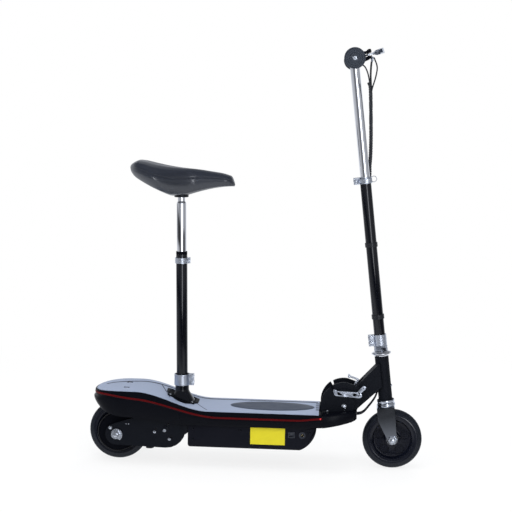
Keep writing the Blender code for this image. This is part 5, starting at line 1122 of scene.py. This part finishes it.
# Stem, clamps and cable clips.
# A glossy black steel tube between two split clamps of cast aluminium. Two moulded clips
# hold the wrapped cables to it, and a lever at the top frees the bar's post.
cast_alloy = finish("cast_alloy", (0.64, 0.68, 0.76), 0.34, 1.0, cloud=24,
    tint=0.06, uneven=0.04, depth=0.0)
tube_gloss = finish("tube_gloss", (0.002, 0.0025, 0.0048), 0.09, cloud=10,
    tint=0.2, uneven=0.02, depth=0.0, specular=0.42)
tube("stem", 0.0114, STEM_RADIUS, 0.224, 0.6125, on_steering, "Z", (0, 0, 0), 72, tube_gloss,
    "steering", "stem_tube")
softened("lower_stem_clamp", cast_alloy, 0.0006)
softened("upper_stem_clamp", cast_alloy, 0.0005)
softened("quick_release_lever", cast_alloy, 0.0004, "zinc")


def strap(radius_a, b, radius_b):
    """The outline of a strap pulled round a circle at the origin and one at b."""
    heading = math.degrees(math.atan2(b[1], b[0]))
    slant = math.degrees(math.acos((radius_a - radius_b) / math.hypot(*b)))
    return np.vstack([arc((0, 0), radius_a, heading + slant, heading + 360 - slant, 24),
        arc(b, radius_b, heading - slant, heading + slant, 24)])


clip_black = finish("clip_black", (0.01, 0.011, 0.014), 0.33, specular=0.35)
outer = strap(STEM_RADIUS + 0.0018, (0, BESIDE_STEM), BUNDLE_RADIUS + 0.0015)
inner = strap(STEM_RADIUS + 0.0001, (0, BESIDE_STEM), BUNDLE_RADIUS + 0.0001)
for number, height in enumerate(CLIP_HEIGHTS, 1):
    rings = [np.column_stack([line, np.full(len(line), height + rise)]) for line, rise in
        ((inner, -0.0055), (outer, -0.005), (outer, 0.005), (inner, 0.0055))]
    fit(skin(f"cable_clip_{number}", on_steering(np.stack(rings)), loop=True), clip_black,
        "steering")


def looped_boss(name, place, body, centre, radius, half):
    """A bolt boss across the clamp's ear: a barrel with a rolled bead at each end and the
    bolt's domed head in it."""
    end = [(0.0, half + 0.0012), (radius * 0.62, half + 0.0012),
        (radius * 0.66, half + 0.0002), (radius, half), (radius, half - 0.002),
        (radius * 0.86, half - 0.0028)]
    profile = [(r, -h) for r, h in end] + end[::-1]
    return spun(name, eased(profile, 0.0004), place, "Y", centre, 36, cast_alloy, body,
        slot="zinc")


looped_boss("lower_clamp_boss_1", on_steering, "steering", (-0.0215, 0, 0.229), 0.0058, 0.0094)
looped_boss("lower_clamp_boss_2", on_steering, "steering", (-0.0215, 0, 0.2417), 0.0058, 0.0094)
looped_boss("upper_clamp_boss", on_steering, "steering", (-0.0225, 0, 0.6064), 0.005, 0.009)


def hoop(name, path, radius, sides, across, place, material, body):
    """A round section carried round a closed path."""
    along = unit(np.roll(path, -1, 0) - np.roll(path, 1, 0))
    side = unit(np.cross(along, across))[:, None]
    b = turns(sides)[None, :, None]
    grid = path[:, None] + radius * (np.cos(b) * side
        + np.sin(b) * np.cross(along[:, None], side))
    return fit(skin(name, place(grid), loop=True), material, body)


a = turns(40)
hoop("cable_ring", np.stack([0.0195 + 0.0062 * np.cos(a), np.full(40, -0.009),
    0.608 + 0.0066 * np.sin(a)], 1), 0.0008, 12, (0, 1, 0), on_steering, zinc, "steering")

# Handlebar and grips.
# A chromed T: the bar is welded to its post. Rubber grips with broad safety ends, and on
# the right a fluted twist throttle inboard of a shorter grip.
BAR_UP = 0.8816
GRIP_FLANGE, GRIP_END = 0.179, 0.1848


def at_bar(points):
    """Points given from the middle of the bar, in the steering's directions."""
    return on_steering(np.asarray(points, float) + (0.0, 0.0, BAR_UP))


spun("bar", eased(mm([(0, -177), (11, -177), (11, 177), (0, 177)]), 0.0006), at_bar, "Y",
    (0, 0, 0), 96, chrome, "bar", "handlebar")
spun("bar_post", mm([(9.5, -431.6), (11, -431.6), (11, -20), (11.3, -15), (12.2, -10.5),
    (10, -4), (9.5, -20)]), at_bar, "Z", (0, 0, 0), 96, chrome, "bar", loop=True)
grip_rubber = finish("grip_rubber", (0.02, 0.026, 0.038), 0.46, cloud=14,
    tint=0.06, uneven=0.03, depth=0.0, specular=0.45)
end_plug = finish("bar_end_plug", (0.62, 0.66, 0.72), 0.3, 1.0)


def fluted(name, profile, side, flutes, depth, start, stop, body, node_name):
    """A rubber sleeve round the bar: between start and stop its radius rises and falls by
    depth, flutes times a turn."""
    r, y = np.array(profile).T
    a = turns(240)
    within = ((y > start) & (y < stop) & (r > 0.0145))[:, None]
    size = r[:, None] + depth * np.cos(flutes * a) * within
    grid = np.stack([size * np.cos(a), side * y[:, None] + 0 * a, size * np.sin(a)], -1)
    fit(skin(name, at_bar(grid), loop=True), grip_rubber, body, node_name)


def grip(name, start, side, node_name):
    """A rubber grip: 40 flutes run along it between two smooth bands, and its end disc has
    a raised ring round the bar's open end. The radius is 15.1 mm + 0.45 mm cos(40 a)."""
    flange, end = GRIP_FLANGE, GRIP_END
    profile = [(0.0113, start), (0.015, start), (0.0157, start + 0.001),
        (0.0157, start + 0.004), (0.015, start + 0.005)]
    profile += [(0.0151, y) for y in np.linspace(start + 0.006, flange - 0.008, 14)]
    profile += [(0.015, flange - 0.007), (0.0157, flange - 0.006), (0.0158, flange - 0.003),
        (0.0205, flange - 0.0006), (0.0226, flange + 0.0004), (0.023, flange + 0.002),
        (0.023, end - 0.002), (0.0222, end - 0.0006), (0.0205, end - 0.0002),
        (0.0198, end - 0.0012), (0.016, end - 0.0012), (0.0153, end), (0.012, end),
        (0.0112, end - 0.0012), (0.0058, end - 0.0012), (0.005, end - 0.002),
        (0.005, 0.1773), (0.0113, 0.1773)]
    fluted(name, profile, side, 40, 0.00045, start + 0.0055, flange - 0.0075, "bar", node_name)
    spun(f"{name}_plug", mm([(0, 182.2), (1.2, 182.2), (1.6, 181.2), (4.6, 181), (4.6, 177.2),
        (0, 177.2)]) * (1, side), at_bar, "Y", (0, 0, 0), 32, end_plug, "bar")


grip("left_hand_grip", 0.0902, 1, "left_grip")
grip("right_hand_grip", 0.1285, -1, "right_grip")
fluted("twist_throttle", mm([(11.3, 90), (17.5, 90), (18.5, 90.8), (18.5, 93.4), (17.6, 94.2),
    (16, 96.2), (15, 96.8)] + [(15.2, y) for y in (99, 104, 110, 116, 122, 125)]
    + [(15.8, 125.6), (15.8, 127.6), (15, 128), (11.3, 128)]), -1, 24, 0.0005, 0.098, 0.1253,
    "throttle", "throttle_sleeve")

# Brake lever.
# A drilled cast lever in a black perch that a screw clamps round the bar, with the cable's
# barrel adjuster under it.
lever_alloy = finish("lever_alloy", (0.66, 0.7, 0.77), 0.26, 1.0, cloud=30,
    tint=0.06, uneven=0.04, depth=0.0)
softened("brake_perch", deck_plastic, 0.0008)


def at_lever(points):
    """Points given from the brake lever's pin, which leans 9 degrees back."""
    return at_bar(leaning(points, (0.031, -0.07, 0.0055), 9.0))


# The blade is a pressed channel that opens towards the bar; its flat hub turns in the perch.
blade_line = routed(mm([(10.5, -2), (18.5, -5), (28.5, -18), (32.5, -40), (30.8, -70),
    (28.8, -97.5)]), 8)
outward = left_of(unit(np.gradient(blade_line, axis=0)))
channel = eased(mm([(2.2, -5.8), (2.2, 5.8), (-6, 5.8), (-6, 4.4), (0.4, 4.4), (0.4, -4.4),
    (-6, -4.4), (-6, -5.8)]), 0.0006, 3, closed=True)
growth = np.interp(run_of(blade_line), (0.0, 0.014, 0.085, 0.105), (0.42, 1.0, 1.0, 0.8))
section = channel[None] * growth[:, None, None]
grid = np.concatenate([blade_line[:, None] + outward[:, None] * section[..., :1],
    section[..., 1:]], -1)
fit(skin("lever_blade", at_lever(grid), caps=True), lever_alloy, "hand_brake", "brake_lever")
fit(slab("lever_hub", np.vstack([arc((0.0, 0.0), 0.0066, 60, 300, 20),
    mm([(12, -6.2), (12.5, 1.2)])]), -0.0019, 0.0019, at_lever, "Z", 0.0004), lever_alloy,
    "hand_brake")
perch = slab("perch_cover", eased(mm([(12, -12), (12, 13), (25, 12.5), (31.5, 18),
    (37, 18.5), (38.6, 15), (38.6, 3), (33, -5), (23, -8.5)]), 0.002, closed=True), -0.0775,
    -0.0625, at_bar, edge=0.0008)
carve(perch, slab("cut", mm([(21.5, 1.2), (48, 4), (48, 11.8), (21.5, 9.2)]), -0.09, -0.05,
    at_bar, edge=0.0001), turned("cut", mm([(0, -110), (12.7, -110), (12.7, -30), (0, -30)]),
    at_bar, "Y", (0, 0, 0), 40))
fit(perch, deck_plastic, "bar")
dome_bolt("lever_pin_head", at_lever, (0.0, 0.0, 0.0062), "bar", 0.75, "Z", 1)
dome_bolt("perch_screw", at_bar, (-0.0128, -0.07, 0.0), "bar", 0.7, "X", -1)
spun("cable_adjuster", mm([(0, 0), (3, 0), (3.4, -1), (3.4, -6), (2.6, -6.6), (2.6, -11),
    (0, -11)]), at_bar, "Z", (0.0385, -0.07, 0.001), 24, cast_alloy, "bar",
    flute=0.00015, flutes=8)

# Seat socket, mast and post.
# A glossy black cone on a square flange screwed to the deck, a black mast held by a plated
# clamp, and a chromed post that slides in the mast's bush under a second clamp.
MAST_FOOT, MAST_LEANING = (-0.1726, 0.0, 0.1415), 1.05
FLANGE_THICKNESS = 0.0046


def on_mast(points):
    """Points given from the mast's foot along the mast, which leans 1.05 degrees back."""
    return leaning(points, MAST_FOOT, MAST_LEANING)


socket_black = finish("socket_black", (0.004, 0.005, 0.007), 0.62, cloud=16,
    grain=1500, depth=0.08, specular=0.05)
spun("socket_cone", eased(mm([(13.4, 0), (29.5, -0.5), (29.3, 3), (24.5, 11), (18, 21.5),
    (16, 26), (15.8, 60), (15.3, 61.8), (13.4, 61.8)]), 0.0016, closed=True), on_mast, "Z",
    (0, 0, 0), 96, tube_gloss, "chassis", loop=True)
softened("seat_socket", socket_black, 0.0005)
for number, (x, y) in enumerate(((0.1225, -0.0245), (0.173, -0.0245), (0.1225, 0.0245),
        (0.173, 0.0245)), 1):
    dome_bolt(f"flange_screw_{number}", at_axle, (x, y, float(deck_top(x)) + FLANGE_THICKNESS),
        "chassis", 0.7, "Z", 1, socket_black if y > 0 else zinc)
softened("lower_seat_clamp", cast_alloy, 0.0006)
softened("upper_seat_clamp", cast_alloy, 0.0005)
looped_boss("seat_clamp_boss_1", on_mast, "mast", (0.0232, 0.0, 0.045), 0.0052, 0.0092)
looped_boss("seat_clamp_boss_2", on_mast, "mast", (0.0232, 0.0, 0.058), 0.0052, 0.0092)
looped_boss("post_clamp_boss", on_mast, "mast", (0.0158, 0.0, 0.3322), 0.004, 0.008)
tube("mast_tube", 0.0115, 0.013, 0.0175, 0.3465, on_mast, "Z", (0, 0, 0), 72, tube_gloss,
    "mast", "seat_mast")
tube("bush", 0.0114, 0.013, 0.3468, 0.3533, on_mast, "Z", (0, 0, 0), 72, deck_plastic,
    "mast", "post_bush")
spun("post", eased(mm([(0, 507.9), (8.5, 507.9), (8.5, 470), (11.1, 465.5), (11.1, 200),
    (9.6, 200), (9.6, 460), (0, 460)]), 0.0012), on_mast, "Z", (0, 0, 0), 96, chrome, "seat",
    "seat_post")
saddle_iron = finish("saddle_iron", (0.007, 0.008, 0.011), 0.34, specular=0.3)
softened("saddle_base", saddle_iron, 0.0006)

# Saddle.
# Foam on a moulded pan, covered in glossy black leatherette that is drawn over the edge and
# stapled under it, with a welt seam round the side.
SADDLE_REAR, SADDLE_NOSE = -0.117, 0.1232
SEAM_LIFT = 0.3


def round_end(t):
    """A quarter circle's height at t, from 0 at its end to 1 where it runs straight."""
    return np.sqrt(np.maximum(0.0, 1 - (1 - np.clip(t, 0, 1)) ** 2))


def saddle_section(t):
    """Place, half width, top and underside at t, from 0 at the tail to 1 at the nose."""
    run = np.clip((t - 0.088) / 0.865, 0, 1)
    top = 0.563 - 0.0385 * run - 0.0035 * np.sin(2 * np.pi * run)
    bottom = (0.4843 + 0.0505 * np.maximum(0.0, 1 - t / 0.4) ** 1.15
        + 0.0221 * np.sin(np.pi / 2 * np.maximum(0.0, (t - 0.53) / 0.47)))
    half = (0.05 + (0.156 - 0.05) * ease((0.64 - t) / 0.4)) / 2
    half = half * round_end(t / 0.25) * round_end((1 - t) / 0.1)
    top = top + ease(t / 0.17) * (0.005 + 0.0024 * np.exp(-((t - 0.9) / 0.09) ** 2))
    middle = (top + bottom) / 2
    top = middle + (top - middle) * round_end(t / 0.088)
    bottom = middle + (bottom - middle) * round_end(t / 0.088)
    top = bottom + (top - bottom) * round_end((1 - t) / 0.045)
    return SADDLE_REAR + (SADDLE_NOSE - SADDLE_REAR) * t, half, top, bottom


turn = turns(96)
swing = np.linspace(0, np.pi, 121)[:, None]
x, half, top, bottom = saddle_section(0.5 - 0.5 * np.cos(swing))
side, lift = np.cos(turn), np.sin(turn)
fuller = np.maximum(np.maximum(np.abs(side), np.abs(lift)), 0.5) ** -0.35
crown = 0.0022 * np.maximum(lift, 0) ** 2 * np.sin(swing)
dish = -0.003 * np.exp(-((side * half) / 0.02) ** 2) * np.maximum(lift, 0) * np.sin(
    np.clip(swing * 1.2 - 0.3, 0, np.pi))
seam = -0.0011 * np.exp(-((lift - SEAM_LIFT) / 0.045) ** 2) * np.sin(swing) ** 0.5
tuck = -0.0022 * np.maximum(-lift, 0) ** 3 * np.sin(swing)
grid = np.stack([x + 0 * turn, half * side * fuller + (seam + tuck) * side,
    (top + bottom) / 2 + (top - bottom) / 2 * lift * fuller + crown - 0.0016 + dish], -1)
saddle = skin("saddle_cushion", on_mast(grid), sharp=80)
leather = finish("black_leatherette", (0.009, 0.012, 0.021), 0.31, cloud=12,
    grain=1400, depth=0.22, tint=0.15, uneven=0.04, specular=1.0)
tree = leather.node_tree
pores = node(tree, "TexVoronoi", {"Scale": 620,
    "Vector": node(tree, "TexCoord").outputs["Object"]}, feature="DISTANCE_TO_EDGE")
bump = next(n for n in tree.nodes if n.type == "BUMP")
bump.inputs["Distance"].default_value = 0.00025
tree.links.new(pores.outputs["Distance"], bump.inputs["Height"])
smooth = saddle.modifiers.new("smooth", "SUBSURF")
smooth.levels = smooth.render_levels = 1
fit(saddle, leather, "seat", "saddle_cover")

sides = [grid[2:-2, np.argmin(np.abs(turn - a))]
    for a in (math.asin(SEAM_LIFT), np.pi - math.asin(SEAM_LIFT))]
line = np.vstack([sides[0], sides[1][::-1]])
line[:, 1] += np.sign(line[:, 1]) * 0.0002
hoop("saddle_welt", line, 0.0009, 10, (0, 0, 1), on_mast, leather, "seat")

# Bring the scene up to date.
bpy.context.view_layer.update()
